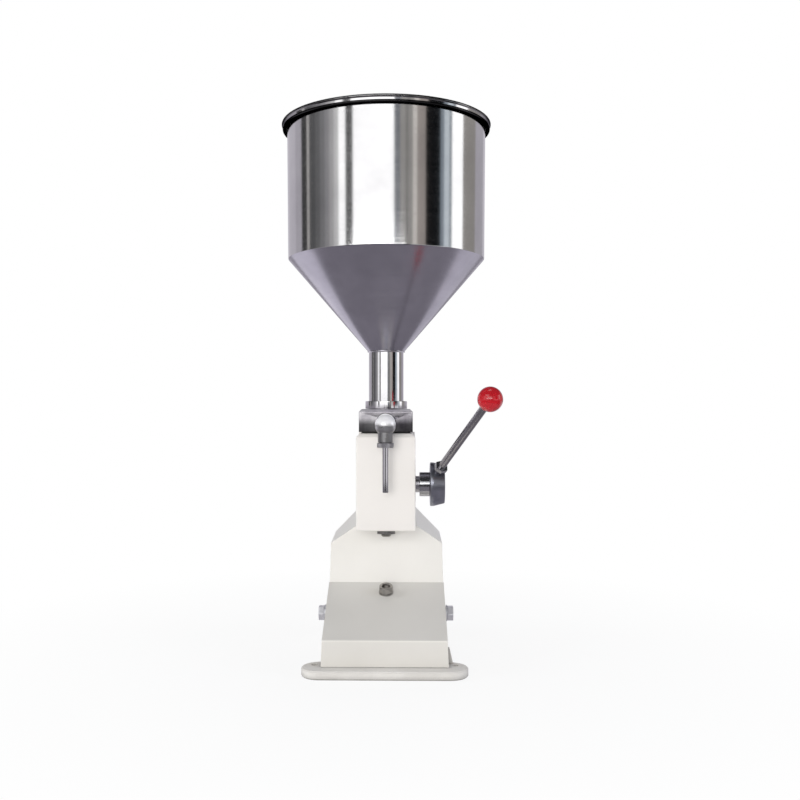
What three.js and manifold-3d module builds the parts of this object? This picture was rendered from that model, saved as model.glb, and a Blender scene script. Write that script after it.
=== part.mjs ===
// Manual filling machine: open hopper, piston pump, rack-and-pinion head, side lever and pedestal.
// Millimetres, +Z up. The origin is on the table, straight under the hopper; the front is -Y.

import * as THREE from 'three';
import { mergeVertices } from 'three/addons/utils/BufferGeometryUtils.js';
import Module from 'manifold-3d';

// Fits
const gap = 0.3; // between two pieces that touch, seat or run in one another
const overrun = 3; // how far a cutting shape runs past the face that it cuts

// Number of flat sides that stand for a round
const hopperSides = 40;
const boreSides = 28;
const roundSides = 18;
const boltSides = 10;
const hexSides = 6;
const headSides = 12;
const earSteps = 12;

const base = {
  thickness: 11,
  frontReach: 132,
  rearReach: 150,
  sideMargin: 0.8,
  earRadius: 24,
  earInset: 0.5,
  edge: 1.5,
  boltHole: 9,
  frontHoleOutset: 7.5,
  frontHoleInset: 32,
  rearHoleSideInset: 10,
  rearHoleInset: 16,
  gussetHeight: 19,
  gussetFoot: 6,
  gussetTop: 1.6,
  gussetStart: 38,
  gussetLength: 9,
  lugThickness: 12,
  lugLength: 32,
  lugHeight: 59,
};

const pedestal = {
  wall: 6,
  footWidth: 158.4,
  foldTaper: 2.4,
  shoulderTaper: 6.4,
  crownFrontWidth: 84,
  crownRearWidth: 78,
  footFront: 2.4,
  shoulderFront: 18,
  rear: 115,
  shoulderFrontHeight: 146.5,
  shoulderRearHeight: 150,
  crownHeight: 169.7,
  crownRise: 18.3,
  flangeWidth: 16,
  flangeHeight: 8,
  boltInsetX: 17.2,
  boltInsetY: 22,
  rearBoltInsetY: 11,
  bracketThickness: 12,
  bracketWidth: 72,
  bracketHeight: 95,
  ribThickness: 10,
  ribHeight: 75,
  windowWidth: 108,
  windowHeight: 96,
  windowSill: 38,
};

const apron = {
  sheet: 2.5,
  front: 112,
  rear: 12,
  kickHeight: 44,
  foldHeight: 94,
};

const rearCover = { sheet: 2, lap: 6, screwInset: 5 };

const head = {
  width: 78,
  frontReach: 40,
  rearReach: 36,
  height: 128,
  wall: 5,
  edge: 5,
  bossRadius: 15,
  bossLength: 10,
  lugWidth: 11,
  lugDepth: 16,
  lugHeight: 13,
  lowerLug: 20,
  upperLug: 86,
  backPlate: 6,
};

const lever = {
  axisForward: 18.5,
  axisHeight: 60,
  lean: 48,
  splay: 22.8,
  splayFoot: 57,
  shaftRadius: 7.5,
  bushWall: 3,
  bushNose: 5.2,
  sleeveRadius: 16,
  sleeveLength: 13.8,
  hubRadius: 29,
  hubRim: 4,
  hubStep: 0.7,
  hubEndRadius: 25.2,
  hubThickness: 19.1,
  rodRadius: 5,
  rodFoot: 18.5,
  ballDistance: 181.6,
  ballRadius: 15.5,
  ballSocket: 12,
  nutAcross: 16,
  nutHeight: 6,
  nutSink: 4,
  keyWidth: 4,
  keyHeight: 3,
  keySeat: 1.8,
};

const gear = { module: 1.5, teeth: 16, width: 18, addendumShare: 0.88, dedendumShare: 1.2, backlash: 0.25 };
const rack = { width: 15, body: 12, top: 19, length: 40.5 };
const guide = { width: 20, height: 40, drop: 2 };

const pump = {
  blockWidth: 71,
  blockDepth: 70,
  blockHeight: 30.2,
  chamfer: 3.6,
  boltInsetX: 8,
  boltInsetY: 7.5,
  gasket: 1.2,
  bore: 50,
  barrelWall: 4,
  barrelLength: 50,
  flangeWidth: 3,
  flangeHeight: 3,
  seal: 1,
  ledge: 3.2,
  ballCavity: 11.6,
  cavityRadius: 8.3,
  ballRadius: 7,
  ledgeHole: 6,
  slotWidth: 4,
  seatHeight: 3,
  seatRadius: 12,
  seatHole: 5.5,
  outletHeight: 12,
  outletOffset: 19,
  outletBore: 4.5,
};

const piston = { length: 20, top: 15, grooveDepth: 2.5, grooveHeight: 4, grooveInset: 3 };
const rod = { radius: 6, stub: 4, stubLength: 9 };

const hopper = {
  sheet: 1.5,
  topRadius: 133.1,
  seamRadius: 131.6,
  cylinderHeight: 180.6,
  coneHeight: 124.5,
  neckRadius: 23.3,
  neckWall: 3,
  neckSocket: 8,
  neckLength: 84,
  collarRadius: 28.1,
  collarHeight: 10.3,
  rimReach: 7.4,
  rimHeight: 9.4,
  rimNotch: 1.2,
  lobeSweep: 60,
  upperLobeShare: 0.31,
  lowerLobeShare: 0.19,
};

const outlet = {
  sealRadius: 13.3,
  sealThickness: 2.4,
  flangeRadius: 12.4,
  flangeThickness: 4,
  stubRadius: 10.5,
  reach: 29,
  bodyRadius: 13.6,
  bodyDrop: 2.6,
  dropRadius: 9.75,
  threadRadius: 8,
  dropLength: 27,
  threadLength: 8,
  chamberRadius: 5.7,
  seatDepth: 9,
  seatHole: 3.4,
  ballRadius: 4.6,
  springWire: 0.45,
  springCurls: 4,
  springSteps: 8,
  springSides: 3,
  nutRadius: 10.9,
  nutHeight: 9.5,
  nutFloor: 2.2,
  tubeRadius: 4.05,
  tubeBore: 2.9,
  tubeLength: 60.2,
  tubeFlange: 7,
  tubeFlangeHeight: 1.5,
};

const strokeScrew = { radius: 7, length: 32, drop: 12, nutAcross: 24, nutHeight: 7.5 };

// Bolts: shank radius and length under the head, head size across flats or diameter
const frontBolt = { shank: 5.7, length: 18, head: 18, headHeight: 8, socket: 10, socketDepth: 4, washer: 19.4 };
const sideBolt = { shank: 5.7, length: 16, head: 18, headHeight: 7.6, washer: 21.2 };
const blockBolt = { shank: 2.9, length: 20, head: 9, headHeight: 5, socket: 5, socketDepth: 2.5 };
const headBolt = { shank: 3.9, length: 31, head: 13, headHeight: 5.5 };
const footBolt = { shank: 3.9, length: 16, head: 13, headHeight: 5.5 };
const coverScrew = { shank: 1.9, length: 6, head: 7, headHeight: 2.4 };
const washer = { thickness: 1.8 };
const hexChamferShare = 0.2; // of the head's height
const socketChamferShare = 0.125; // of the head's height
const frontBoltDown = 26; // down the slope from the apron's upper edge
const sideBoltForward = 20;
const sideBoltHeight = 59;

// Levels, from the table up
const plateTop = base.thickness;
const headBottom = pedestal.crownHeight + gap;
const headTop = headBottom + head.height;
const blockBottom = headTop + pump.gasket + 2 * gap;
const blockTop = blockBottom + pump.blockHeight;
const axisZ = headBottom + lever.axisHeight;
const axisY = -lever.axisForward;
const neckBottom = blockTop - hopper.neckSocket + gap;
const coneBottom = neckBottom + hopper.neckLength;
const seamZ = coneBottom + hopper.coneHeight;
const hopperTop = seamZ + hopper.cylinderHeight;
const slope = Math.atan2(apron.foldHeight - apron.kickHeight, apron.front + apron.rear);

// Materials
function finish(color, roughness, metalness) {
  return new THREE.MeshStandardMaterial({ color, roughness, metalness });
}
const creamPaint = finish(0xece8dc, 0.45, 0);
const plateCream = finish(0xdcd7c9, 0.6, 0);
const polishedSteel = finish(0xc9c9cc, 0.18, 1);
const brushedSteel = finish(0xa9a9ad, 0.35, 1);
const darkSteel = finish(0x56585f, 0.4, 1);
const redPlastic = finish(0xb5121b, 0.2, 0);
const blackRubber = finish(0x1c1c1c, 0.8, 0);
const brass = finish(0xb08d4a, 0.4, 1);

// Closed meshes and the joining and cutting of them
const wasm = await Module();
wasm.setup();

function signedVolume(position, index) {
  const a = new THREE.Vector3();
  const b = new THREE.Vector3();
  const c = new THREE.Vector3();
  let volume = 0;
  for (let i = 0; i < index.length; i += 3) {
    a.fromBufferAttribute(position, index[i]);
    b.fromBufferAttribute(position, index[i + 1]);
    c.fromBufferAttribute(position, index[i + 2]);
    volume += a.dot(b.cross(c));
  }
  return volume;
}

function closed(geometry) {
  const bare = geometry.clone();
  bare.deleteAttribute('normal');
  bare.deleteAttribute('uv');
  const merged = mergeVertices(bare);
  const index = [];
  const all = merged.index.array;
  for (let i = 0; i < all.length; i += 3) {
    const [a, b, c] = [all[i], all[i + 1], all[i + 2]];
    if (a !== b && b !== c && c !== a) index.push(a, b, c);
  }
  if (signedVolume(merged.attributes.position, index) < 0) index.reverse();
  merged.setIndex(index);
  return merged;
}

function toSolid(geometry) {
  const mesh = closed(geometry);
  const vertProperties = new Float32Array(mesh.attributes.position.array);
  const triVerts = new Uint32Array(mesh.index.array);
  return new wasm.Manifold(new wasm.Mesh({ numProp: 3, vertProperties, triVerts }));
}

function toGeometry(solid) {
  const mesh = solid.getMesh();
  const geometry = new THREE.BufferGeometry();
  geometry.setAttribute('position', new THREE.BufferAttribute(new Float32Array(mesh.vertProperties), 3));
  geometry.setIndex(Array.from(mesh.triVerts));
  geometry.computeVertexNormals();
  return geometry;
}

function join(...shapes) {
  return toGeometry(shapes.map(toSolid).reduce((sum, solid) => sum.add(solid)));
}

function cut(shape, ...tools) {
  return toGeometry(tools.map(toSolid).reduce((rest, tool) => rest.subtract(tool), toSolid(shape)));
}

// Basic shapes, each standing on z = 0
function rodShape(radius, length, sides = roundSides) {
  const upright = new THREE.CylinderGeometry(radius, radius, length, sides).rotateX(Math.PI / 2);
  return upright.translate(0, 0, length / 2);
}

function block(width, depth, height) {
  return new THREE.BoxGeometry(width, depth, height).translate(0, 0, height / 2);
}

function turned(profile, sides = roundSides) {
  const points = profile.map(([radius, z]) => new THREE.Vector2(radius, z));
  return new THREE.LatheGeometry(points, sides).rotateX(Math.PI / 2);
}

function ring(inner, outer, height, sides = roundSides) {
  return turned([[inner, 0], [outer, 0], [outer, height], [inner, height], [inner, 0]], sides);
}

function outlineShape(points) {
  return new THREE.Shape(points.map(([x, y]) => new THREE.Vector2(x, y)));
}

function slab(shape, thickness) {
  return new THREE.ExtrudeGeometry(shape, { depth: thickness, bevelEnabled: false, curveSegments: boltSides });
}

// A closed skin over convex loops with equal counts of corners
function loft(...loops) {
  const count = loops[0].length;
  const index = [];
  for (let level = 0; level + 1 < loops.length; level++) {
    for (let i = 0; i < count; i++) {
      const a = level * count + i;
      const b = level * count + (i + 1) % count;
      index.push(a, b, b + count, a, b + count, a + count);
    }
  }
  const last = (loops.length - 1) * count;
  for (let i = 1; i + 1 < count; i++) {
    index.push(0, i + 1, i);
    index.push(last, last + i, last + i + 1);
  }
  const geometry = new THREE.BufferGeometry();
  geometry.setAttribute('position', new THREE.Float32BufferAttribute(loops.flat(2), 3));
  geometry.setIndex(index);
  return geometry;
}

// Turns from the upright: local +Z goes to +X, to the front or down
const toRight = (shape) => shape.rotateY(Math.PI / 2);
const toLeft = (shape) => shape.rotateY(-Math.PI / 2);
const toFront = (shape) => shape.rotateX(Math.PI / 2);
const toRear = (shape) => shape.rotateX(-Math.PI / 2);
const cornerRadius = (acrossFlats) => acrossFlats / 2 / Math.cos(Math.PI / hexSides);

// Fasteners: the seat is at z = 0, the shank below it
function hexHead(bolt) {
  const corner = cornerRadius(bolt.head);
  const chamfer = bolt.headHeight * hexChamferShare;
  return turned([[0, 0], [corner, 0], [corner, bolt.headHeight - chamfer],
    [corner - chamfer, bolt.headHeight], [0, bolt.headHeight]], hexSides);
}

function shankBelow(bolt) {
  return rodShape(bolt.shank, bolt.length + gap, boltSides).translate(0, 0, -bolt.length);
}

function hexBolt(bolt) {
  return join(hexHead(bolt), shankBelow(bolt));
}

function socketBolt(bolt) {
  const radius = bolt.head / 2;
  const chamfer = bolt.headHeight * socketChamferShare;
  const cap = turned([[0, 0], [radius, 0], [radius, bolt.headHeight - chamfer],
    [radius - chamfer, bolt.headHeight], [0, bolt.headHeight]], headSides);
  const socket = turned([[0, 0], [cornerRadius(bolt.socket), 0],
    [cornerRadius(bolt.socket), bolt.socketDepth + overrun], [0, bolt.socketDepth + overrun]], hexSides);
  return cut(join(cap, shankBelow(bolt)), socket.translate(0, 0, bolt.headHeight - bolt.socketDepth));
}

function washerFor(bolt) {
  return ring(bolt.shank + gap, bolt.washer / 2, washer.thickness, headSides);
}

function hexNut(acrossFlats, height, shank) {
  const bore = rodShape(shank + gap, height + 2 * overrun).translate(0, 0, -overrun);
  return cut(rodShape(cornerRadius(acrossFlats), height, hexSides), bore);
}

// Scene graph
const machine = new THREE.Group();

function groupIn(parent, x, y, z) {
  const group = new THREE.Group();
  group.position.set(x, y, z);
  parent.add(group);
  return group;
}

function piece(parent, name, geometry, material) {
  const mesh = new THREE.Mesh(closed(geometry), material);
  mesh.geometry.computeVertexNormals();
  mesh.name = name;
  parent.add(mesh);
  return mesh;
}

// The apron and the casting both taper upwards from the foot
const foldWidth = pedestal.footWidth - pedestal.foldTaper;
const shoulderWidth = pedestal.footWidth - pedestal.shoulderTaper;
const cheekOutside = pedestal.footWidth / 2 + gap;
const plateWidth = pedestal.footWidth + 2 * base.sideMargin;

// Base plate with two round front ears, a flared gusset on the right and upright lugs for the side bolts
function plateOutline() {
  const shape = new THREE.Shape();
  const halfWidth = plateWidth / 2;
  const earX = halfWidth - base.earInset;
  const earY = -base.frontReach + base.earRadius;
  const corner = base.rearHoleInset;
  shape.moveTo(-earX, -base.frontReach);
  shape.lineTo(earX, -base.frontReach);
  shape.absarc(earX, earY, base.earRadius, -Math.PI / 2, Math.acos((halfWidth - earX) / base.earRadius));
  shape.lineTo(halfWidth, base.rearReach - corner);
  shape.absarc(halfWidth - corner, base.rearReach - corner, corner, 0, Math.PI / 2);
  shape.absarc(corner - halfWidth, base.rearReach - corner, corner, Math.PI / 2, Math.PI);
  const leftStart = Math.PI - Math.acos((halfWidth - earX) / base.earRadius);
  shape.absarc(-earX, earY, base.earRadius, leftStart, Math.PI * 1.5);
  return shape;
}

function sideGusset() {
  const inner = cheekOutside;
  const front = -base.frontReach + base.gussetStart;
  const section = (y) => [
    [inner, y, plateTop - gap],
    [inner + base.gussetFoot, y, plateTop - gap],
    [inner + base.gussetTop, y, plateTop + base.gussetHeight],
    [inner, y, plateTop + base.gussetHeight],
  ];
  return loft(section(front), section(front + base.gussetLength));
}

const lugFace = foldWidth / 2 - apron.sheet - 2 * gap;

function sideLug(side) {
  const shape = block(base.lugThickness, base.lugLength, base.lugHeight + gap);
  return shape.translate(side * (lugFace - base.lugThickness / 2), -sideBoltForward, plateTop - gap);
}

function basePlate() {
  const plate = new THREE.ExtrudeGeometry(plateOutline(), {
    depth: base.thickness - 2 * base.edge,
    bevelThickness: base.edge,
    bevelSize: base.edge,
    bevelOffset: -base.edge,
    bevelSegments: 1,
    curveSegments: earSteps,
  }).translate(0, 0, base.edge);
  const holes = [];
  for (const side of [-1, 1]) {
    const hole = () => rodShape(base.boltHole / 2, base.thickness + 2 * overrun, boltSides);
    const frontY = -base.frontReach + base.frontHoleInset;
    const rearY = base.rearReach - base.rearHoleInset;
    holes.push(hole().translate(side * (plateWidth / 2 + base.frontHoleOutset), frontY, -overrun));
    holes.push(hole().translate(side * (plateWidth / 2 - base.rearHoleSideInset), rearY, -overrun));
    const lugHole = toRight(rodShape(sideBolt.shank + gap, base.lugThickness * 2, boltSides));
    holes.push(lugHole.translate(side * lugFace - base.lugThickness, -sideBoltForward, sideBoltHeight));
    for (const y of footBoltRows) holes.push(footBoltHole().translate(side * footBoltX, y, 0));
  }
  const body = join(plate, sideGusset(), sideLug(-1), sideLug(1));
  return cut(body, ...holes);
}

// Pedestal casting: hollow column with chamfered shoulders, saddle and bracket for the head
const footBoltRows = [
  pedestal.footFront + pedestal.wall + pedestal.boltInsetY,
  pedestal.rear - pedestal.wall - pedestal.rearBoltInsetY,
];
const footBoltX = pedestal.footWidth / 2 - pedestal.boltInsetX;
const footSeat = plateTop + gap + pedestal.flangeHeight;
const footBoltDepth = footSeat - footBolt.length;

function footBoltHole() {
  return rodShape(footBolt.shank + gap, footBolt.length + overrun, boltSides).translate(0, 0, footBoltDepth);
}

function columnLoops(inset, bottom, crownRise) {
  const foot = pedestal.footWidth / 2 - inset;
  const shoulder = shoulderWidth / 2 - inset;
  const front = pedestal.shoulderFront + inset;
  const rear = pedestal.rear - inset;
  const crownFront = pedestal.crownFrontWidth / 2 - inset;
  const crownRear = pedestal.crownRearWidth / 2 - inset;
  const crown = pedestal.crownHeight - inset;
  const footFront = pedestal.footFront + inset;
  return [
    [[-foot, footFront, bottom], [foot, footFront, bottom], [foot, rear, bottom], [-foot, rear, bottom]],
    [[-shoulder, front, pedestal.shoulderFrontHeight], [shoulder, front, pedestal.shoulderFrontHeight],
      [shoulder, rear, pedestal.shoulderRearHeight], [-shoulder, rear, pedestal.shoulderRearHeight]],
    [[-crownFront, front, crown], [crownFront, front, crown],
      [crownRear, rear, crown + crownRise], [-crownRear, rear, crown + crownRise]],
  ];
}

const headRear = head.rearReach + gap + head.backPlate;
const bracketFront = headRear + gap;
const headBoltX = head.width / 2 - head.wall - head.lugWidth / 2;
const headBoltRows = [head.lowerLug, head.upperLug].map((z) => headBottom + z);

// A frame whose origin is on the slope's outer face at the front bolt, z along the slope's normal
function onSlope(shape) {
  const y = apron.rear - frontBoltDown * Math.cos(slope);
  const z = apron.foldHeight - frontBoltDown * Math.sin(slope);
  return shape.rotateX(slope).translate(0, y, z);
}

function frontLug() {
  const depth = frontBoltDown + pedestal.boltInsetY;
  const height = frontBolt.length - apron.sheet;
  return onSlope(block(2 * frontBolt.head, depth, height).translate(0, pedestal.wall, -apron.sheet - gap - height));
}

function pedestalCasting() {
  const outer = loft(...columnLoops(0, plateTop + gap, pedestal.crownRise));
  const cavity = loft(...columnLoops(pedestal.wall, footSeat, pedestal.crownRise));
  const rise = pedestal.crownRise + overrun;
  const saddle = block(head.width + 2 * gap, bracketFront + overrun, rise)
    .translate(0, (bracketFront + overrun) / 2 - overrun, pedestal.crownHeight);
  const flangeHole = block(
    pedestal.footWidth - 2 * (pedestal.wall + pedestal.flangeWidth),
    pedestal.rear - pedestal.footFront - 2 * (pedestal.wall + pedestal.flangeWidth),
    pedestal.flangeHeight + 2 * overrun,
  ).translate(0, (pedestal.rear + pedestal.footFront) / 2, plateTop - overrun);
  const window = block(pedestal.windowWidth, 2 * pedestal.wall + overrun, pedestal.windowHeight)
    .translate(0, pedestal.rear, pedestal.windowSill);
  const bracket = block(pedestal.bracketWidth, pedestal.bracketThickness, pedestal.bracketHeight + pedestal.wall)
    .translate(0, bracketFront + pedestal.bracketThickness / 2, pedestal.crownHeight - pedestal.wall / 2);
  const ribTop = pedestal.crownHeight + pedestal.ribHeight;
  const ribFoot = pedestal.crownHeight - pedestal.wall / 2;
  const ribFront = bracketFront + pedestal.bracketThickness / 2;
  const rib = (x) => {
    const side = (at) => [[at, ribFront, ribFoot], [at, pedestal.rear - pedestal.wall, ribFoot + pedestal.crownRise],
      [at, ribFront + pedestal.wall, ribTop], [at, ribFront, ribTop]];
    return loft(side(x - pedestal.ribThickness / 2), side(x + pedestal.ribThickness / 2));
  };
  const holes = [];
  for (const side of [-1, 1]) {
    for (const z of headBoltRows) {
      const hole = toRear(rodShape(headBolt.shank + gap, pedestal.bracketThickness + 2 * overrun, boltSides));
      holes.push(hole.translate(side * headBoltX, bracketFront - overrun, z));
    }
    for (const y of footBoltRows) holes.push(footBoltHole().translate(side * footBoltX, y, 0));
    for (const z of coverScrewRows) holes.push(coverScrewHole().translate(side * coverScrewX, pedestal.rear, z));
  }
  holes.push(onSlope(rodShape(frontBolt.shank + gap, frontBolt.length + 2 * overrun, boltSides)
    .translate(0, 0, -frontBolt.length - overrun)));
  const shell = cut(outer, cavity, saddle, flangeHole, window);
  return cut(join(shell, bracket, rib(0), frontLug()), ...holes);
}

// Rear cover over the casting's window
const coverWidth = pedestal.windowWidth + 2 * (rearCover.lap + rearCover.screwInset);
const coverHeight = pedestal.windowHeight + 2 * rearCover.lap;
const coverScrewX = coverWidth / 2 - rearCover.screwInset;
const coverScrewRows = [pedestal.windowSill + pedestal.windowHeight / 2];

function coverScrewHole() {
  const depth = coverScrew.length + overrun;
  return toFront(rodShape(coverScrew.shank + gap, depth, boltSides)).translate(0, overrun, 0);
}

function rearCoverPlate() {
  const plate = block(coverWidth, rearCover.sheet, coverHeight);
  plate.translate(0, pedestal.rear + gap + rearCover.sheet / 2, pedestal.windowSill - rearCover.lap);
  const holes = [-1, 1].flatMap((side) => coverScrewRows.map(
    (z) => coverScrewHole().translate(side * coverScrewX, pedestal.rear + 2 * gap + rearCover.sheet, z)));
  return cut(plate, ...holes);
}

// Apron: folded sheet with a low upright front, a slope and two side cheeks
function apronSide(side, inset) {
  const drop = inset / Math.cos(slope) - inset * Math.tan(slope);
  const x = (width) => side * (width / 2 - inset);
  const reach = inset > 0 ? overrun : 0;
  const foldZ = apron.foldHeight + (reach + inset) * Math.tan(slope) - drop - inset * Math.tan(slope);
  return [
    [x(pedestal.footWidth), -apron.front + inset, plateTop + gap - reach],
    [x(foldWidth), -apron.front + inset, apron.kickHeight - drop],
    [x(foldWidth), apron.rear - gap + reach, foldZ],
    [x(pedestal.footWidth), pedestal.footFront - gap + reach, plateTop + gap - reach],
  ];
}

function apronCover() {
  const outer = loft(apronSide(-1, 0), apronSide(1, 0));
  const inner = loft(apronSide(-1, apron.sheet), apronSide(1, apron.sheet));
  const boltHole = onSlope(rodShape(frontBolt.shank + gap, 2 * overrun + apron.sheet, boltSides)
    .translate(0, 0, -apron.sheet - overrun));
  const sideHoles = toRight(rodShape(sideBolt.shank + gap, plateWidth, boltSides))
    .translate(-plateWidth / 2, -sideBoltForward, sideBoltHeight);
  return cut(outer, inner, boltHole, sideHoles);
}

function buildPedestal(parent) {
  piece(parent, 'base_plate', basePlate(), plateCream);
  piece(parent, 'pedestal_casting', pedestalCasting(), creamPaint);
  piece(parent, 'apron_cover', apronCover(), creamPaint);
  piece(parent, 'rear_cover', rearCoverPlate(), creamPaint);
  piece(parent, 'front_washer', onSlope(washerFor(frontBolt).translate(0, 0, gap)), darkSteel);
  const boltSeat = washer.thickness + 2 * gap;
  piece(parent, 'front_bolt', onSlope(socketBolt(frontBolt).translate(0, 0, boltSeat)), darkSteel);
  for (const [side, turn, word] of [[-1, toLeft, 'left'], [1, toRight, 'right']]) {
    const place = groupIn(parent, side * cheekOutside, -sideBoltForward, sideBoltHeight);
    piece(place, `side_washer_${word}`, turn(washerFor(sideBolt)), darkSteel);
    piece(place, `side_bolt_${word}`, turn(hexBolt(sideBolt).translate(0, 0, washer.thickness + gap)), darkSteel);
    footBoltRows.forEach((y, row) => {
      const bolt = hexBolt(footBolt).translate(side * footBoltX, y, footSeat + gap);
      piece(parent, `foot_bolt_${word}_${row + 1}`, bolt, darkSteel);
    });
    for (const z of coverScrewRows) {
      const screw = toRear(hexBolt(coverScrew));
      const y = pedestal.rear + rearCover.sheet + 2 * gap;
      piece(parent, `cover_screw_${word}`, screw.translate(side * coverScrewX, y, z), darkSteel);
    }
  }
}

// Head box: open at the rear, with bosses for the bushes and lugs for the head bolts
const bushOuter = lever.shaftRadius + gap + lever.bushWall;
const blockBoltPlaces = [-1, 1].flatMap((x) => [-1, 1].map(
  (y) => [x * (pump.blockWidth / 2 - pump.boltInsetX), y * (pump.blockDepth / 2 - pump.boltInsetY)]));

function headBox() {
  const depth = head.frontReach + head.rearReach;
  const midY = (head.rearReach - head.frontReach) / 2;
  const half = head.width / 2;
  const loop = (inset, z) => [
    [-half + inset, -head.frontReach + inset, z], [half - inset, -head.frontReach + inset, z],
    [half - inset, head.rearReach, z], [-half + inset, head.rearReach, z]];
  const outer = loft(loop(0, 0), loop(0, head.height - head.edge), loop(head.edge, head.height));
  const inside = block(head.width - 2 * head.wall, depth, head.height - 2 * head.wall)
    .translate(0, midY + head.wall, head.wall);
  const boss = (side) => toRight(rodShape(head.bossRadius, head.bossLength + gap))
    .translate(side > 0 ? half - head.wall - head.bossLength : -half + head.wall - gap, axisY, lever.axisHeight);
  const lugs = [];
  const holes = [];
  const lugLength = headBolt.length - pedestal.bracketThickness - head.backPlate;
  for (const side of [-1, 1]) {
    for (const z of [head.lowerLug, head.upperLug]) {
      lugs.push(block(head.lugWidth + gap, head.lugDepth, head.lugHeight)
        .translate(side * (headBoltX + gap), head.rearReach - head.lugDepth / 2, z - head.lugHeight / 2));
      holes.push(toFront(rodShape(headBolt.shank + gap, lugLength + overrun, boltSides))
        .translate(side * headBoltX, head.rearReach + overrun, z));
    }
  }
  const bushBore = toRight(rodShape(bushOuter + gap, half + overrun)).translate(0, axisY, lever.axisHeight);
  const blindBore = toLeft(rodShape(bushOuter + gap, half - head.wall)).translate(0, axisY, lever.axisHeight);
  const barrelHole = rodShape(barrelRadius + gap, head.wall + 2 * overrun, boreSides)
    .translate(0, 0, head.height - head.wall - overrun);
  const screwHole = rodShape(strokeScrew.radius + gap, head.wall + 2 * overrun).translate(0, 0, -overrun);
  const boltHoles = blockBoltPlaces.map(([x, y]) => rodShape(blockBolt.shank + gap, head.wall + 2 * overrun, boltSides)
    .translate(x, y, head.height - head.wall - overrun));
  const shell = join(cut(outer, inside), boss(-1), boss(1), ...lugs);
  return cut(shell, bushBore, blindBore, barrelHole, screwHole, ...boltHoles, ...holes);
}

function headBackPlate() {
  const plate = block(head.width, head.backPlate, head.height)
    .translate(0, head.rearReach + gap + head.backPlate / 2, 0);
  const holes = [-1, 1].flatMap((side) => [head.lowerLug, head.upperLug].map(
    (z) => toRear(rodShape(headBolt.shank + gap, head.backPlate + 2 * overrun, boltSides))
      .translate(side * headBoltX, head.rearReach - overrun, z)));
  return cut(plate, ...holes);
}

function buildHead(parent) {
  const group = groupIn(parent, 0, 0, headBottom);
  piece(group, 'head_box', headBox(), creamPaint);
  piece(group, 'head_back_plate', headBackPlate(), creamPaint);
  for (const [side, word] of [[-1, 'left'], [1, 'right']]) {
    [head.lowerLug, head.upperLug].forEach((z, row) => {
      const bolt = toRear(hexBolt(headBolt));
      const seat = bracketFront + pedestal.bracketThickness + gap;
      piece(group, `head_bolt_${word}_${row + 1}`, bolt.translate(side * headBoltX, seat, z), darkSteel);
    });
  }
  const bush = (length) => ring(lever.shaftRadius + gap, bushOuter, length);
  const inner = head.width / 2 - head.wall - head.bossLength;
  const noseLength = head.bossLength + head.wall + lever.bushNose;
  const bushes = groupIn(group, 0, axisY, lever.axisHeight);
  piece(bushes, 'bush_right', toRight(bush(noseLength)).translate(inner, 0, 0), brushedSteel);
  piece(bushes, 'bush_left', toLeft(bush(head.bossLength - gap)).translate(-inner, 0, 0), brass);
  const guideDepth = head.rearReach - rackBack - gap;
  const guideBlock = block(guide.width, guideDepth, guide.height)
    .translate(0, rackBack + gap + guideDepth / 2, lever.axisHeight - guide.height / 2 - guide.drop);
  piece(group, 'rack_guide', guideBlock, brass);
}

// Rack and pinion
const pitchRadius = gear.module * gear.teeth / 2;
const toothTop = gear.module * gear.addendumShare;
const toothRoot = gear.module * gear.dedendumShare;
const pressure = Math.PI / 9;
const pitchLine = axisY + pitchRadius;
const rackBack = pitchLine + toothRoot + rack.body;

// Half the angle that a pinion tooth covers at a radius, from the involute of its base circle
function toothHalfAngle(radius) {
  const involute = (angle) => Math.tan(angle) - angle;
  const baseRadius = pitchRadius * Math.cos(pressure);
  const at = Math.acos(Math.min(1, baseRadius / radius));
  const atPitch = Math.PI / (2 * gear.teeth) - gear.backlash / (2 * pitchRadius);
  return atPitch + involute(pressure) - involute(at);
}

function pinion() {
  const root = pitchRadius - toothRoot;
  const tip = pitchRadius + toothTop;
  const radii = [root, (root + pitchRadius) / 2, pitchRadius, tip];
  const points = [];
  for (let tooth = 0; tooth < gear.teeth; tooth++) {
    const centre = tooth * 2 * Math.PI / gear.teeth;
    const flank = (side) => radii.map((radius) => {
      const angle = centre + side * toothHalfAngle(radius);
      return [radius * Math.cos(angle), radius * Math.sin(angle)];
    });
    points.push(...flank(-1), ...flank(1).reverse());
  }
  // The outline's x points to the rear and its y up, so the first tooth faces the rack
  const body = slab(outlineShape(points), gear.width).translate(0, 0, -gear.width / 2);
  const faced = body.applyMatrix4(new THREE.Matrix4().set(0, 0, 1, 0, 1, 0, 0, 0, 0, 1, 0, 0, 0, 0, 0, 1));
  const bore = toRight(rodShape(lever.shaftRadius + gap, gear.width + 2 * overrun))
    .translate(-gear.width / 2 - overrun, 0, 0);
  return cut(faced, bore, keyShape(gear.width + 2 * overrun, gap));
}

function keyShape(length, margin) {
  const bottom = lever.shaftRadius - lever.keyHeight + lever.keySeat - margin;
  return block(length, lever.keyWidth + 2 * margin, lever.keyHeight + 2 * margin).translate(0, 0, bottom);
}

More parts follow.
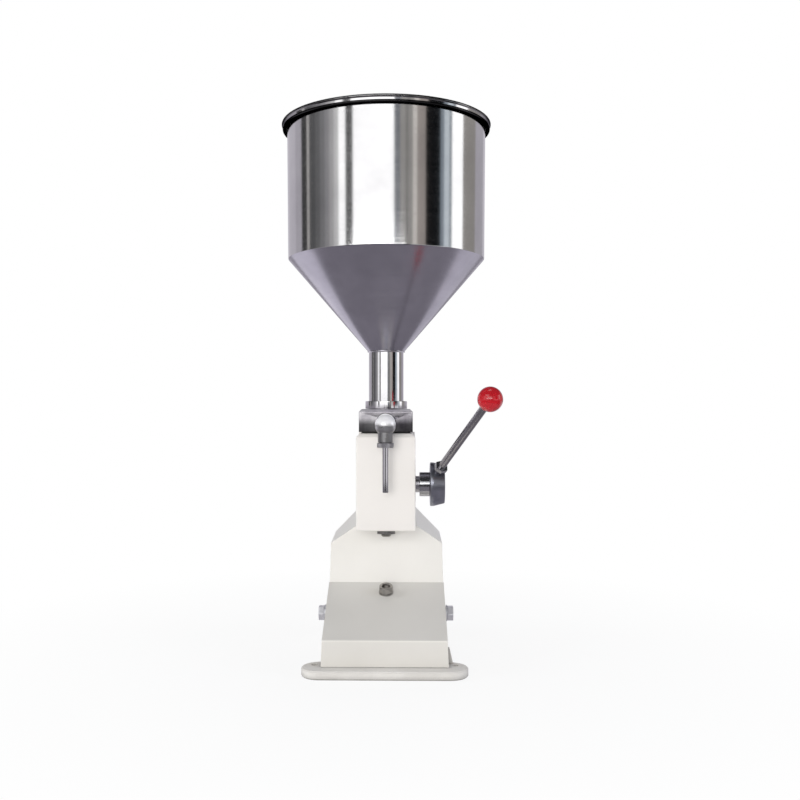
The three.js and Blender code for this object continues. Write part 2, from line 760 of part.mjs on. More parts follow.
// The rack's spaces are level with the shaft, where the pinion's first tooth stands
function rackBar() {
  const pitch = Math.PI * gear.module;
  const lean = Math.tan(pressure);
  const tipHalf = pitch / 4 - gear.backlash / 2 - toothTop * lean;
  const rootHalf = pitch / 4 - gear.backlash / 2 + toothRoot * lean;
  const bottom = rack.top - rack.length;
  const teeth = [];
  for (let k = Math.ceil(bottom / pitch - 0.5); (k + 0.5) * pitch + rootHalf < rack.top; k++) {
    const middle = (k + 0.5) * pitch;
    if (middle - rootHalf < bottom) continue;
    teeth.push([toothRoot, middle - rootHalf], [-toothTop, middle - tipHalf]);
    teeth.push([-toothTop, middle + tipHalf], [toothRoot, middle + rootHalf]);
  }
  const backX = toothRoot + rack.body;
  const points = [[backX, bottom], [backX, rack.top], [toothRoot, rack.top], ...teeth.reverse(), [toothRoot, bottom]];
  const bar = slab(outlineShape(points), rack.width).translate(0, 0, -rack.width / 2);
  bar.applyMatrix4(new THREE.Matrix4().set(0, 0, 1, 0, 1, 0, 0, 0, 0, 1, 0, 0, 0, 0, 0, 1));
  const socket = rodShape(rod.stub + gap, rod.stubLength + overrun, boltSides)
    .translate(0, -pitchLine, rack.top - rod.stubLength);
  return cut(bar, socket);
}

// Lever: shaft, key, pinion, sleeve, hub, rod, nut and ball, turning together about the shaft
const shaftLeft = -(head.width / 2 - head.wall) + gap;
const sleeveStart = head.width / 2 + lever.bushNose + gap;
const hubStart = sleeveStart + lever.sleeveLength + gap;
const hubEnd = hubStart + lever.hubThickness;

function shaft() {
  const bar = toRight(rodShape(lever.shaftRadius, hubEnd - shaftLeft)).translate(shaftLeft, 0, 0);
  return cut(bar, keyShape(gear.width + gap, gap));
}

function hub() {
  const rim = lever.hubRadius;
  const bore = lever.shaftRadius + gap;
  const edge = lever.hubStep;
  const profile = [[bore, 0], [rim - edge, 0], [rim, edge], [rim, lever.hubRim], [rim - edge, lever.hubRim],
    [lever.hubEndRadius, lever.hubThickness - edge], [lever.hubEndRadius - edge, lever.hubThickness],
    [bore, lever.hubThickness], [bore, 0]];
  const rodHole = rodShape(lever.rodRadius + gap, lever.hubRadius)
    .translate(0, 0, lever.rodFoot - gap).rotateY(splay).translate(lever.splayFoot, 0, 0);
  return cut(toRight(turned(profile)).translate(hubStart, 0, 0), rodHole);
}

const splay = THREE.MathUtils.degToRad(lever.splay);

function leverBall() {
  const ball = new THREE.SphereGeometry(lever.ballRadius, roundSides, roundSides / 2);
  ball.rotateX(Math.PI / 2);
  const socket = rodShape(lever.rodRadius + gap, lever.ballRadius * 2);
  return cut(ball, socket.translate(0, 0, -lever.ballRadius * 2 + lever.ballSocket - lever.ballRadius / 2));
}

function buildLever(parent) {
  const axis = groupIn(parent, 0, axisY, axisZ);
  piece(axis, 'lever_shaft', shaft(), darkSteel);
  piece(axis, 'shaft_key', keyShape(gear.width - gap, 0), darkSteel);
  piece(axis, 'pinion', pinion(), darkSteel);
  const sleeve = toRight(ring(lever.shaftRadius + gap, lever.sleeveRadius, lever.sleeveLength));
  piece(axis, 'hub_sleeve', sleeve.translate(sleeveStart, 0, 0), darkSteel);
  const leaning = groupIn(axis, 0, 0, 0);
  leaning.rotation.x = THREE.MathUtils.degToRad(lever.lean);
  piece(leaning, 'lever_hub', hub(), darkSteel);
  const arm = groupIn(leaning, lever.splayFoot, 0, 0);
  arm.rotation.y = splay;
  const socketEnd = lever.ballDistance - lever.ballRadius / 2 + lever.ballSocket - lever.ballRadius;
  const rodLength = socketEnd - lever.rodFoot - gap + lever.ballRadius / 2;
  const nutSeat = (lever.hubRadius + lever.nutAcross / 2) / Math.cos(splay) - lever.nutSink;
  const nut = hexNut(lever.nutAcross, lever.nutHeight, lever.rodRadius);
  piece(arm, 'lever_rod', rodShape(lever.rodRadius, rodLength).translate(0, 0, lever.rodFoot), darkSteel);
  piece(arm, 'rod_jam_nut', nut.translate(0, 0, nutSeat), darkSteel);
  piece(arm, 'lever_ball', leverBall().translate(0, 0, lever.ballDistance), redPlastic);
}

// Pump: block over the head, barrel hanging through the head's top, piston below
const barrelRadius = pump.bore / 2 + pump.barrelWall;
const flangeRadius = barrelRadius + pump.flangeWidth;
const chamberRoof = pump.flangeHeight + pump.seal + 2 * gap;
const ledgeTop = chamberRoof + pump.ledge;
const seatBottom = ledgeTop + pump.ballCavity;

function pumpBlock() {
  const loop = (inset, z) => {
    const x = pump.blockWidth / 2 - inset;
    const y = pump.blockDepth / 2 - inset;
    return [[-x, -y, z], [x, -y, z], [x, y, z], [-x, y, z]];
  };
  const body = loft(loop(0, 0), loop(0, pump.blockHeight - pump.chamfer), loop(pump.chamfer, pump.blockHeight));
  const upTo = (radius, from, to, sides = roundSides) => rodShape(radius, to - from, sides).translate(0, 0, from);
  const seatTop = seatBottom + pump.seatHeight + 2 * gap;
  const tools = [
    upTo(flangeRadius + gap, -overrun, chamberRoof, boreSides),
    upTo(pump.ledgeHole, 0, ledgeTop + gap),
    block(pump.slotWidth, 2 * (pump.cavityRadius - gap), pump.ledge + 2 * gap).translate(0, 0, chamberRoof - gap),
    upTo(pump.cavityRadius, ledgeTop, seatBottom + gap),
    upTo(pump.seatRadius + gap, seatBottom, seatTop),
    upTo(pump.seatRadius - gap, seatTop - gap, pump.blockHeight),
    upTo(hopper.neckRadius + gap, pump.blockHeight - hopper.neckSocket, pump.blockHeight + overrun, boreSides),
    rodShape(pump.outletBore, pump.outletHeight + pump.outletBore / 2).translate(0, -pump.outletOffset, 0),
    toFront(rodShape(pump.outletBore, pump.blockDepth)).translate(0, -pump.outletOffset, pump.outletHeight),
    ...blockBoltPlaces.map(([x, y]) => upTo(blockBolt.shank + gap, -overrun, blockBolt.length, boltSides)
      .translate(x, y, 0)),
  ];
  return cut(body, ...tools);
}

function barrel() {
  const inner = pump.bore / 2;
  return turned([[inner, 0], [barrelRadius, 0], [barrelRadius, pump.barrelLength], [flangeRadius, pump.barrelLength],
    [flangeRadius, pump.barrelLength + pump.flangeHeight], [inner, pump.barrelLength + pump.flangeHeight],
    [inner, 0]], boreSides);
}

function gasket() {
  const sheet = block(pump.blockWidth - 2 * pump.chamfer, pump.blockDepth - 2 * pump.chamfer, pump.gasket);
  const holes = blockBoltPlaces.map(([x, y]) => rodShape(blockBolt.shank + gap, pump.gasket + 2 * overrun, boltSides)
    .translate(x, y, -overrun));
  return cut(sheet, rodShape(barrelRadius + gap, pump.gasket + 2 * overrun, boreSides).translate(0, 0, -overrun),
    ...holes);
}

function buildPump(parent) {
  const group = groupIn(parent, 0, 0, blockBottom);
  piece(group, 'pump_block', pumpBlock(), polishedSteel);
  piece(group, 'block_gasket', gasket().translate(0, 0, -gap - pump.gasket), blackRubber);
  piece(group, 'cylinder_barrel', barrel().translate(0, 0, -pump.barrelLength), polishedSteel);
  const sealRing = ring(pump.bore / 2 + gap, flangeRadius - gap, pump.seal, boreSides);
  piece(group, 'barrel_seal', sealRing.translate(0, 0, pump.flangeHeight + gap), blackRubber);
  const boltSeat = -gap - pump.gasket - gap - head.wall - gap;
  blockBoltPlaces.forEach(([x, y], count) => {
    const bolt = socketBolt(blockBolt).rotateX(Math.PI).translate(x, y, boltSeat);
    piece(group, `block_bolt_${count + 1}`, bolt, darkSteel);
  });
  const inletSeat = ring(pump.seatHole, pump.seatRadius, pump.seatHeight);
  piece(group, 'inlet_seat', inletSeat.translate(0, 0, seatBottom + gap), polishedSteel);
  const ball = new THREE.SphereGeometry(pump.ballRadius, boltSides, boltSides).rotateX(Math.PI / 2);
  const sunk = Math.sqrt(pump.ballRadius ** 2 - pump.ledgeHole ** 2);
  piece(group, 'inlet_ball', ball.translate(0, 0, ledgeTop + sunk + gap), polishedSteel);
}

// Piston, seals, rod and rack rise and fall together
const pistonBottom = blockBottom - piston.top - piston.length + pump.flangeHeight;
const pistonRadius = pump.bore / 2 - 2 * gap;

function pistonBody() {
  const groove = (z) => [[pistonRadius, z], [pistonRadius - piston.grooveDepth, z],
    [pistonRadius - piston.grooveDepth, z + piston.grooveHeight], [pistonRadius, z + piston.grooveHeight]];
  const upper = piston.length - piston.grooveInset - piston.grooveHeight;
  const stubTop = rod.stubLength;
  return turned([[rod.stub + gap, 0], [pistonRadius, 0], ...groove(piston.grooveInset), ...groove(upper),
    [pistonRadius, piston.length], [0, piston.length], [0, stubTop + gap], [rod.stub + gap, stubTop + gap],
    [rod.stub + gap, 0]], boreSides);
}

function pistonRod() {
  const length = pistonBottom - gap - (axisZ + rack.top + gap);
  return turned([[0, -rod.stubLength + gap], [rod.stub, -rod.stubLength + gap], [rod.stub, 0], [rod.radius, 0],
    [rod.radius, length], [rod.stub, length], [rod.stub, length + rod.stubLength], [0, length + rod.stubLength]]);
}

function buildPiston(parent) {
  piece(groupIn(parent, 0, pitchLine, axisZ), 'rack', rackBar(), darkSteel);
  piece(groupIn(parent, 0, 0, axisZ + rack.top + gap), 'piston_rod', pistonRod(), polishedSteel);
  const group = groupIn(parent, 0, 0, pistonBottom);
  piece(group, 'piston', pistonBody(), polishedSteel);
  const sealInner = pistonRadius - piston.grooveDepth + gap;
  const sealRing = () => ring(sealInner, pistonRadius + gap, piston.grooveHeight - 2 * gap, boreSides);
  const upper = piston.length - piston.grooveInset - piston.grooveHeight + gap;
  piece(group, 'piston_seal_lower', sealRing().translate(0, 0, piston.grooveInset + gap), blackRubber);
  piece(group, 'piston_seal_upper', sealRing().translate(0, 0, upper), blackRubber);
}

// Hopper: turned sheet shell, rolled rim, polished neck and its collar
function hopperShell() {
  const bottom = hopper.neckRadius + gap;
  const sheet = hopper.sheet;
  const drop = sheet * (Math.sqrt(hopper.coneHeight ** 2 + (hopper.seamRadius - bottom) ** 2)
    / (hopper.seamRadius - bottom));
  return turned([[bottom, coneBottom], [hopper.seamRadius, seamZ], [hopper.topRadius, hopperTop],
    [hopper.topRadius - sheet, hopperTop], [hopper.seamRadius - sheet, seamZ + sheet / 2],
    [bottom, coneBottom + drop], [bottom, coneBottom]], hopperSides);
}

const rimRadius = hopper.topRadius + hopper.rimReach;

// The rim's section has two rounded lobes, the upper one fuller
function hopperRim() {
  const inner = hopper.topRadius + gap;
  const upper = hopper.rimHeight * hopper.upperLobeShare;
  const lower = hopper.rimHeight * hopper.lowerLobeShare;
  const points = [[inner, 0]];
  const arc = (centreX, centreZ, radius, from, to, steps) => {
    for (let i = 0; i <= steps; i++) {
      const angle = THREE.MathUtils.degToRad(from + (to - from) * i / steps);
      points.push([centreX + radius * Math.cos(angle), centreZ + radius * Math.sin(angle)]);
    }
  };
  arc(rimRadius - hopper.rimNotch - lower, lower, lower, -90, hopper.lobeSweep, 2);
  arc(rimRadius - upper, hopper.rimHeight - upper, upper, -hopper.lobeSweep, 90, 4);
  points.push([inner, hopper.rimHeight], [inner, 0]);
  return turned(points, hopperSides);
}

function buildHopper(parent) {
  piece(parent, 'hopper_shell', hopperShell(), brushedSteel);
  piece(groupIn(parent, 0, 0, hopperTop - hopper.rimHeight + gap), 'hopper_rim', hopperRim(), polishedSteel);
  const neckBore = hopper.neckRadius - hopper.neckWall;
  const neck = ring(neckBore, hopper.neckRadius, hopper.neckLength + hopper.neckWall, boreSides);
  piece(groupIn(parent, 0, 0, neckBottom), 'hopper_neck', neck, polishedSteel);
  const collar = ring(hopper.neckRadius + gap, hopper.collarRadius, hopper.collarHeight, boreSides);
  piece(groupIn(parent, 0, 0, blockTop + gap), 'neck_collar', collar, brushedSteel);
}

// Outlet: seal, elbow with its ball and spring, nut and nozzle tube
const blockFront = -pump.blockDepth / 2;
const outletFoot = -outlet.dropLength;
const seatLevel = -outlet.seatDepth;
const springTop = seatLevel - Math.sqrt(outlet.ballRadius ** 2 - outlet.seatHole ** 2) - outlet.ballRadius - 2 * gap;

function elbow() {
  const flange = toFront(rodShape(outlet.flangeRadius, outlet.flangeThickness))
    .translate(0, outlet.reach - outlet.sealThickness - 2 * gap, 0);
  const stub = toFront(rodShape(outlet.stubRadius, outlet.reach - outlet.sealThickness - 2 * gap))
    .translate(0, outlet.reach - outlet.sealThickness - 2 * gap, 0);
  const ball = new THREE.SphereGeometry(outlet.bodyRadius, roundSides, roundSides / 2).rotateX(Math.PI / 2);
  ball.translate(0, 0, -outlet.bodyDrop);
  const thread = rodShape(outlet.threadRadius, outlet.dropLength).translate(0, 0, outletFoot);
  const drop = rodShape(outlet.dropRadius, outlet.dropLength - outlet.threadLength)
    .translate(0, 0, outletFoot + outlet.threadLength);
  const inlet = toFront(rodShape(pump.outletBore, outlet.reach)).translate(0, outlet.reach, 0);
  const down = rodShape(outlet.seatHole, outlet.dropLength).translate(0, 0, outletFoot);
  const chamber = rodShape(outlet.chamberRadius, outlet.dropLength + seatLevel + overrun)
    .translate(0, 0, outletFoot - overrun);
  return cut(join(flange, stub, ball, thread, drop), inlet, down, chamber);
}

function spring() {
  const bottom = outletFoot + gap;
  const radius = outlet.ballRadius - outlet.springWire;
  const height = springTop - bottom - 2 * outlet.springWire;
  class Coil extends THREE.Curve {
    getPoint(t, target = new THREE.Vector3()) {
      const angle = t * 2 * Math.PI * outlet.springCurls;
      return target.set(radius * Math.cos(angle), radius * Math.sin(angle), bottom + outlet.springWire + t * height);
    }
  }
  const section = new THREE.Shape();
  section.absarc(0, 0, outlet.springWire, 0, 2 * Math.PI);
  return new THREE.ExtrudeGeometry(section, {
    steps: outlet.springSteps * outlet.springCurls,
    curveSegments: outlet.springSides,
    extrudePath: new Coil(),
  });
}

function nozzleNut() {
  const bore = outlet.threadRadius + gap;
  const hole = outlet.tubeRadius + gap;
  return turned([[hole, 0], [outlet.nutRadius, 0], [outlet.nutRadius, outlet.nutHeight], [bore, outlet.nutHeight],
    [bore, outlet.nutFloor], [hole, outlet.nutFloor], [hole, 0]]);
}

function nozzleTube() {
  const top = outlet.tubeFlangeHeight;
  return turned([[outlet.tubeBore, -outlet.tubeLength], [outlet.tubeRadius, -outlet.tubeLength],
    [outlet.tubeRadius, 0], [outlet.tubeFlange, 0], [outlet.tubeFlange, top], [outlet.tubeBore, top],
    [outlet.tubeBore, -outlet.tubeLength]]);
}

function buildOutlet(parent) {
  const group = groupIn(parent, 0, blockFront - outlet.reach - gap, blockBottom + pump.outletHeight);
  const seal = toFront(ring(pump.outletBore, outlet.sealRadius, outlet.sealThickness));
  piece(group, 'outlet_seal', seal.translate(0, outlet.reach, 0), blackRubber);
  piece(group, 'outlet_elbow', elbow(), polishedSteel);
  const ball = new THREE.SphereGeometry(outlet.ballRadius, boltSides, boltSides).rotateX(Math.PI / 2);
  const ballZ = seatLevel - Math.sqrt(outlet.ballRadius ** 2 - outlet.seatHole ** 2) - gap;
  piece(group, 'outlet_ball', ball.translate(0, 0, ballZ), polishedSteel);
  piece(group, 'outlet_spring', spring(), brushedSteel);
  const tubeSeat = outletFoot - gap - outlet.tubeFlangeHeight;
  piece(group, 'nozzle_tube', nozzleTube().translate(0, 0, tubeSeat), polishedSteel);
  piece(group, 'nozzle_nut', nozzleNut().translate(0, 0, tubeSeat - gap - outlet.nutFloor), brushedSteel);
}

// Stroke screw and its lock nut under the head box
function buildStrokeStop(parent) {
  const screw = rodShape(strokeScrew.radius, strokeScrew.length).translate(0, 0, headBottom - strokeScrew.drop);
  piece(parent, 'stroke_screw', screw, darkSteel);
  const nut = hexNut(strokeScrew.nutAcross, strokeScrew.nutHeight, strokeScrew.radius);
  piece(parent, 'stroke_lock_nut', nut.translate(0, 0, headBottom - gap - strokeScrew.nutHeight), darkSteel);
}

buildPedestal(machine);
buildHead(machine);
buildLever(machine);
buildPump(machine);
buildPiston(machine);
buildHopper(machine);
buildOutlet(machine);
buildStrokeStop(machine);

export default machine;
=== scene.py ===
# Manual filling machine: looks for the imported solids.
# Pieces are measured in millimetres, and lamps, floor and cards in metres.
import bpy
import bmesh
import math
from mathutils import Matrix, Vector


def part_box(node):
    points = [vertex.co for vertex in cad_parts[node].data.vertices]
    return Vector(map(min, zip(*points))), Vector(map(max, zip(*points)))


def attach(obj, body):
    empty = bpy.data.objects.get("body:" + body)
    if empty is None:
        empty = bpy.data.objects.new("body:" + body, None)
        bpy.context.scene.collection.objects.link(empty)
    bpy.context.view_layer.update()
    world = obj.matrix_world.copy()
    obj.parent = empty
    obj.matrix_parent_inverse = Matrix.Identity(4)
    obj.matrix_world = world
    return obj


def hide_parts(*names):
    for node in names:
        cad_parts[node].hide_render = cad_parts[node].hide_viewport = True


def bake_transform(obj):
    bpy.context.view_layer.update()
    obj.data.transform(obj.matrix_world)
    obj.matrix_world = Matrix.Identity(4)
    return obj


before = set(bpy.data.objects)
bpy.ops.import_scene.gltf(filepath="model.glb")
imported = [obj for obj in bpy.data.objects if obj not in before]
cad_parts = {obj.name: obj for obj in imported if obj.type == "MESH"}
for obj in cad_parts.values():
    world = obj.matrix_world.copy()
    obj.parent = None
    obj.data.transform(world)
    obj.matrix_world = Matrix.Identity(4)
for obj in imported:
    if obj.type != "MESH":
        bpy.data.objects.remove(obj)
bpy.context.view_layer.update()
mm = 0.001
print("frame loaded:", len(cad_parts), "nodes")


# Camera: height, distance, lens, sensor and nearest in mm, turn in degrees, shifts as shares of the picture
camera = {"height": 334, "distance": 1310, "turn": 1.0, "lens": 43.65, "sensor": 36, "nearest": 10,
          "shiftX": 0.0172, "shiftY": 0.0075}


def placeCamera():
    eye = bpy.data.objects.new("camera", bpy.data.cameras.new("camera"))
    bpy.context.scene.collection.objects.link(eye)
    turn = math.radians(camera["turn"])
    away = camera["distance"] * mm
    eye.location = (away * math.sin(turn), -away * math.cos(turn), camera["height"] * mm)
    eye.rotation_euler = (math.pi / 2, 0, turn)
    eye.data.lens = camera["lens"]
    eye.data.sensor_width = camera["sensor"]
    eye.data.shift_x = camera["shiftX"]
    eye.data.shift_y = camera["shiftY"]
    eye.data.clip_start = camera["nearest"] * mm
    bpy.context.scene.camera = eye
    bpy.context.scene.view_settings.view_transform = "Standard"


placeCamera()

# Lamps
lampAim = Vector((0, 0, 0.3))
lamps = [
    # name, place, power, size, colour
    ("frontLamp", (-0.5, -2.4, 0.5), 33, 1.3, (1, 0.99, 0.97)),
    ("rightLamp", (2.1, -0.5, 1.0), 15, 0.9, (0.8, 0.85, 1.0)),
    ("leftLamp", (-2.1, -0.3, 1.0), 15, 0.9, (0.88, 0.92, 1.0)),
    ("topLamp", (-0.2, -0.2, 2.3), 2, 1.2, (1, 1, 1)),
    ("rearLamp", (0.4, 2.2, 1.2), 12, 1.2, (1, 1, 1)),
]


def addLamp(name, place, power, size, colour):
    lamp = bpy.data.lights.new(name, "AREA")
    lamp.color = colour
    lamp.energy = power
    lamp.size = size
    holder = bpy.data.objects.new(name, lamp)
    holder.location = place
    holder.rotation_euler = (lampAim - Vector(place)).to_track_quat("-Z", "Y").to_euler()
    holder.visible_glossy = False
    bpy.context.scene.collection.objects.link(holder)


for lamp in lamps:
    addLamp(*lamp)


# Surroundings
def spread(tree, source, fromRange, toRange=(0, 1)):
    # a value spread from one range over another, and held at its ends
    node = tree.nodes.new("ShaderNodeMapRange")
    node.inputs["From Min"].default_value = fromRange[0]
    node.inputs["From Max"].default_value = fromRange[1]
    node.inputs["To Min"].default_value = toRange[0]
    node.inputs["To Max"].default_value = toRange[1]
    tree.links.new(source, node.inputs["Value"])
    return node.outputs[0]


def seenAsBackground(tree):
    # 1 for camera, glossy and transmission rays
    path = tree.nodes.new("ShaderNodeLightPath")
    first = tree.nodes.new("ShaderNodeMath")
    first.operation = "MAXIMUM"
    second = tree.nodes.new("ShaderNodeMath")
    second.operation = "MAXIMUM"
    tree.links.new(path.outputs["Is Camera Ray"], first.inputs[0])
    tree.links.new(path.outputs["Is Glossy Ray"], first.inputs[1])
    tree.links.new(first.outputs[0], second.inputs[0])
    tree.links.new(path.outputs["Is Transmission Ray"], second.inputs[1])
    return second.outputs[0]


surround = {"ambient": 0.37, "seen": 1.0}


def lightSurroundings():
    world = bpy.data.worlds.new("studio")
    bpy.context.scene.world = world
    world.use_nodes = True
    tree = world.node_tree
    sky = tree.nodes["Background"]
    sky.inputs["Color"].default_value = (1, 1, 1, 1)
    level = spread(tree, seenAsBackground(tree), (0, 1), (surround["ambient"], surround["seen"]))
    tree.links.new(level, sky.inputs["Strength"])


lightSurroundings()

# Where it is seen the floor glows white, by glowNear up to near and fully from far on
floor = {"radius": 40, "sides": 64, "near": 0.168, "far": 0.7, "glowNear": 0.86, "colour": (0.9, 0.9, 0.9, 1)}


def makeFloor():
    bm = bmesh.new()
    bmesh.ops.create_circle(bm, cap_ends=True, segments=floor["sides"], radius=floor["radius"])
    mesh = bpy.data.meshes.new("floor")
    bm.to_mesh(mesh)
    bm.free()
    plane = bpy.data.objects.new("floor", mesh)
    bpy.context.scene.collection.objects.link(plane)
    mat = bpy.data.materials.new("floorWhite")
    mat.use_nodes = True
    tree = mat.node_tree
    tree.nodes.remove(tree.nodes["Principled BSDF"])
    matt = tree.nodes.new("ShaderNodeBsdfDiffuse")
    matt.inputs["Color"].default_value = floor["colour"]
    glow = tree.nodes.new("ShaderNodeEmission")
    blend = tree.nodes.new("ShaderNodeMixShader")
    place = tree.nodes.new("ShaderNodeTexCoord")
    reach = tree.nodes.new("ShaderNodeVectorMath")
    reach.operation = "LENGTH"
    seen = tree.nodes.new("ShaderNodeMath")
    seen.operation = "MULTIPLY"
    tree.links.new(place.outputs["Object"], reach.inputs[0])
    share = spread(tree, reach.outputs["Value"], (floor["near"], floor["far"]), (floor["glowNear"], 1))
    tree.links.new(share, seen.inputs[0])
    tree.links.new(seenAsBackground(tree), seen.inputs[1])
    tree.links.new(seen.outputs[0], blend.inputs[0])
    tree.links.new(matt.outputs[0], blend.inputs[1])
    tree.links.new(glow.outputs[0], blend.inputs[2])
    tree.links.new(blend.outputs[0], tree.nodes["Material Output"].inputs["Surface"])
    mesh.materials.append(mat)


makeFloor()

# Cards that only reflections see: from azimuth, to azimuth (0 in front, + to the right), level, tint
cards = [
    (-180, -150, 0.62, (0.95, 0.91, 1.0)),
    (-150, -125, 0.55, (0.95, 0.91, 1.0)),
    (-125, -110, 0.46, (0.95, 0.91, 1.0)),
    (-110, -99.5, 0.05, (1, 1, 1)),
    (-99.5, -95, 0.45, (1, 0.97, 0.95)),
    (-95, -85, 0.1, (0.97, 0.97, 1.0)),
    (-85, -78, 0.14, (0.97, 0.97, 1.0)),
    (-78, -71, 0.2, (0.97, 0.96, 1.0)),
    (-71, -65, 0.28, (0.97, 0.96, 1.0)),
    (-65, -59, 0.4, (1, 0.98, 1.0)),
    (-59, -53, 0.58, (1, 1, 1)),
    (-53, -44.5, 1.35, (1, 1, 1)),
    (-44.5, -36, 0.08, (1, 1, 1)),
    (-36, 9.5, 1.4, (1, 1, 1)),
    (9.5, 16, 0.2, (0.85, 0.9, 1.0)),
    (16, 22, 0.33, (1, 0.97, 0.93)),
    (22, 25, 0.22, (1, 0.97, 0.93)),
    (25, 30, 0.3, (1, 0.97, 0.93)),
    (30, 35, 0.66, (1, 0.95, 0.9)),
    (35, 45, 0.33, (1, 0.9, 0.84)),
    (45, 63, 0.006, (0.8, 0.85, 1)),
    (63, 68, 0.3, (0.75, 0.87, 1.0)),
    (68, 75, 0.72, (0.85, 0.93, 1.0)),
    (75, 79, 0.34, (0.82, 0.92, 1.0)),
    (79, 96.5, 1.4, (1, 1, 1)),
    (96.5, 122, 0.3, (1, 0.95, 0.9)),
    (122, 150, 0.46, (0.95, 0.91, 1.0)),
    (150, 180, 0.62, (0.95, 0.91, 1.0)),
]
# The same below the eye's level, where the pump block's flat front looks
skirts = [
    (-180, -60, 0.3, (0.95, 0.9, 1.0)),
    (-60, -12, 0.62, (0.97, 0.95, 1.0)),
    (-12, -3.4, 0.16, (0.95, 0.88, 1.0)),
    (-3.4, -2.4, 0.3, (0.97, 0.93, 1.0)),
    (-2.4, -1.2, 0.75, (1, 1, 1)),
    (-1.2, 0.2, 0.85, (1, 1, 1)),
    (0.2, 0.55, 0.2, (0.95, 0.88, 1.0)),
    (0.55, 0.8, 0.03, (0.95, 0.88, 1.0)),
    (0.8, 1.2, 0.14, (0.95, 0.88, 1.0)),
    (1.2, 28, 0.08, (0.95, 0.88, 1.0)),
    (28, 70, 0.85, (0.97, 0.97, 1.0)),
    (70, 180, 0.3, (0.95, 0.9, 1.0)),
]
# Rings on the table, in front and behind
frontTable = [(-90, 90, 0.05, (0.95, 0.92, 1.0))]
rearTable = [
    (90, 106, 0.5, (0.95, 0.92, 1.0)),
    (106, 180, 0.76, (0.95, 0.92, 1.0)),
    (180, 254, 0.95, (0.95, 0.92, 1.0)),
    (254, 270, 0.5, (0.95, 0.92, 1.0)),
]
softbox = [(-52, -12, 1.5, (1, 1, 1))]
strip = [(-40, 22, 7, (1, 1, 1))]
# The wall that the cards stand in: cards from split to top, skirts from bottom to split, dome over both
# A card that glows more than sampledFrom is sampled as a lamp
wall = {"radius": 2.6, "bottom": -0.2, "split": 0.322, "top": 1.6,
        "leastSteps": 6, "stepTurn": 3, "sides": 64, "sampledFrom": 2,
        "dome": 2.9, "domeRadius": 1.2, "domeGlow": 0.05, "domeTint": (0.95, 0.95, 1.0),
        "lightRadius": 0.55, "lightDrop": 0.05, "lightGlow": 1.2, "lightTint": (1, 1, 1),
        "table": 0.0004, "tableRadius": 0.7, "tableGlow": 0.3, "tableTint": (0.95, 0.9, 1.0),
        "softboxLow": 2.4, "softboxHigh": 1.5, "stripRadius": 2.5, "stripLow": 0.68, "stripHigh": 0.8}


def cardFinish(name, strength, tint):
    mat = bpy.data.materials.new(name)
    mat.use_nodes = True
    tree = mat.node_tree
    tree.nodes.remove(tree.nodes["Principled BSDF"])
    glow = tree.nodes.new("ShaderNodeEmission")
    glow.inputs["Color"].default_value = (*tint, 1)
    glow.inputs["Strength"].default_value = strength
    tree.links.new(glow.outputs[0], tree.nodes["Material Output"].inputs["Surface"])
    mat.cycles.emission_sampling = "AUTO" if strength > wall["sampledFrom"] else "NONE"
    return mat


def placeCard(name, bm, mat):
    mesh = bpy.data.meshes.new(name)
    bm.to_mesh(mesh)
    bm.free()
    mesh.materials.append(mat)
    card = bpy.data.objects.new(name, mesh)
    card.visible_camera = False
    card.visible_diffuse = False
    card.visible_shadow = False
    bpy.context.scene.collection.objects.link(card)


def bandCards(name, bands, bottom, top, lowRadius=wall["radius"], highRadius=wall["radius"]):
    for count, (start, end, strength, tint) in enumerate(bands):
        bm = bmesh.new()
        foot = bm.verts.new((0, -lowRadius, bottom))
        head = bm.verts.new((0, -highRadius, top))
        edge = bm.edges.new((foot, head))
        steps = max(wall["leastSteps"], int((end - start) / wall["stepTurn"]))
        bmesh.ops.rotate(bm, verts=bm.verts, matrix=Matrix.Rotation(math.radians(start), 3, "Z"))
        bmesh.ops.spin(bm, geom=[foot, head, edge], cent=(0, 0, 0), axis=(0, 0, 1),
                       angle=math.radians(end - start), steps=steps)
        placeCard("%s%02d" % (name, count), bm, cardFinish("%sGlow%02d" % (name, count), strength, tint))


def discCard(name, radius, height, glow, tint, skirtRadius=None):
    # a level disc, with a cone from the wall's top up to it if it has a skirt
    bm = bmesh.new()
    bmesh.ops.create_circle(bm, cap_ends=True, segments=wall["sides"], radius=radius)
    bmesh.ops.translate(bm, verts=bm.verts, vec=(0, 0, height))
    if skirtRadius:
        bmesh.ops.create_cone(bm, cap_ends=False, segments=wall["sides"], radius1=skirtRadius, radius2=radius,
                              depth=height - wall["top"],
                              matrix=Matrix.Translation((0, 0, (height + wall["top"]) / 2)))
    placeCard(name, bm, cardFinish(name + "Glow", glow, tint))


def makeCards():
    bandCards("card", cards, wall["split"], wall["top"])
    bandCards("skirt", skirts, wall["bottom"], wall["split"])
    discCard("domeCard", wall["domeRadius"], wall["dome"], wall["domeGlow"], wall["domeTint"], wall["radius"])
    lightHeight = wall["dome"] - wall["lightDrop"]
    discCard("topCard", wall["lightRadius"], lightHeight, wall["lightGlow"], wall["lightTint"])
    discCard("tableCard", wall["tableRadius"], wall["table"], wall["tableGlow"], wall["tableTint"])
    bandCards("softbox", softbox, wall["top"], wall["dome"], wall["softboxLow"], wall["softboxHigh"])
    bandCards("strip", strip, wall["stripLow"], wall["stripHigh"], wall["stripRadius"], wall["stripRadius"])
    bandCards("frontTable", frontTable, wall["table"], wall["table"], wall["tableRadius"])
    bandCards("rearTable", rearTable, wall["table"], wall["table"], wall["tableRadius"])


makeCards()
print("camera, lamps, floor and cards placed")


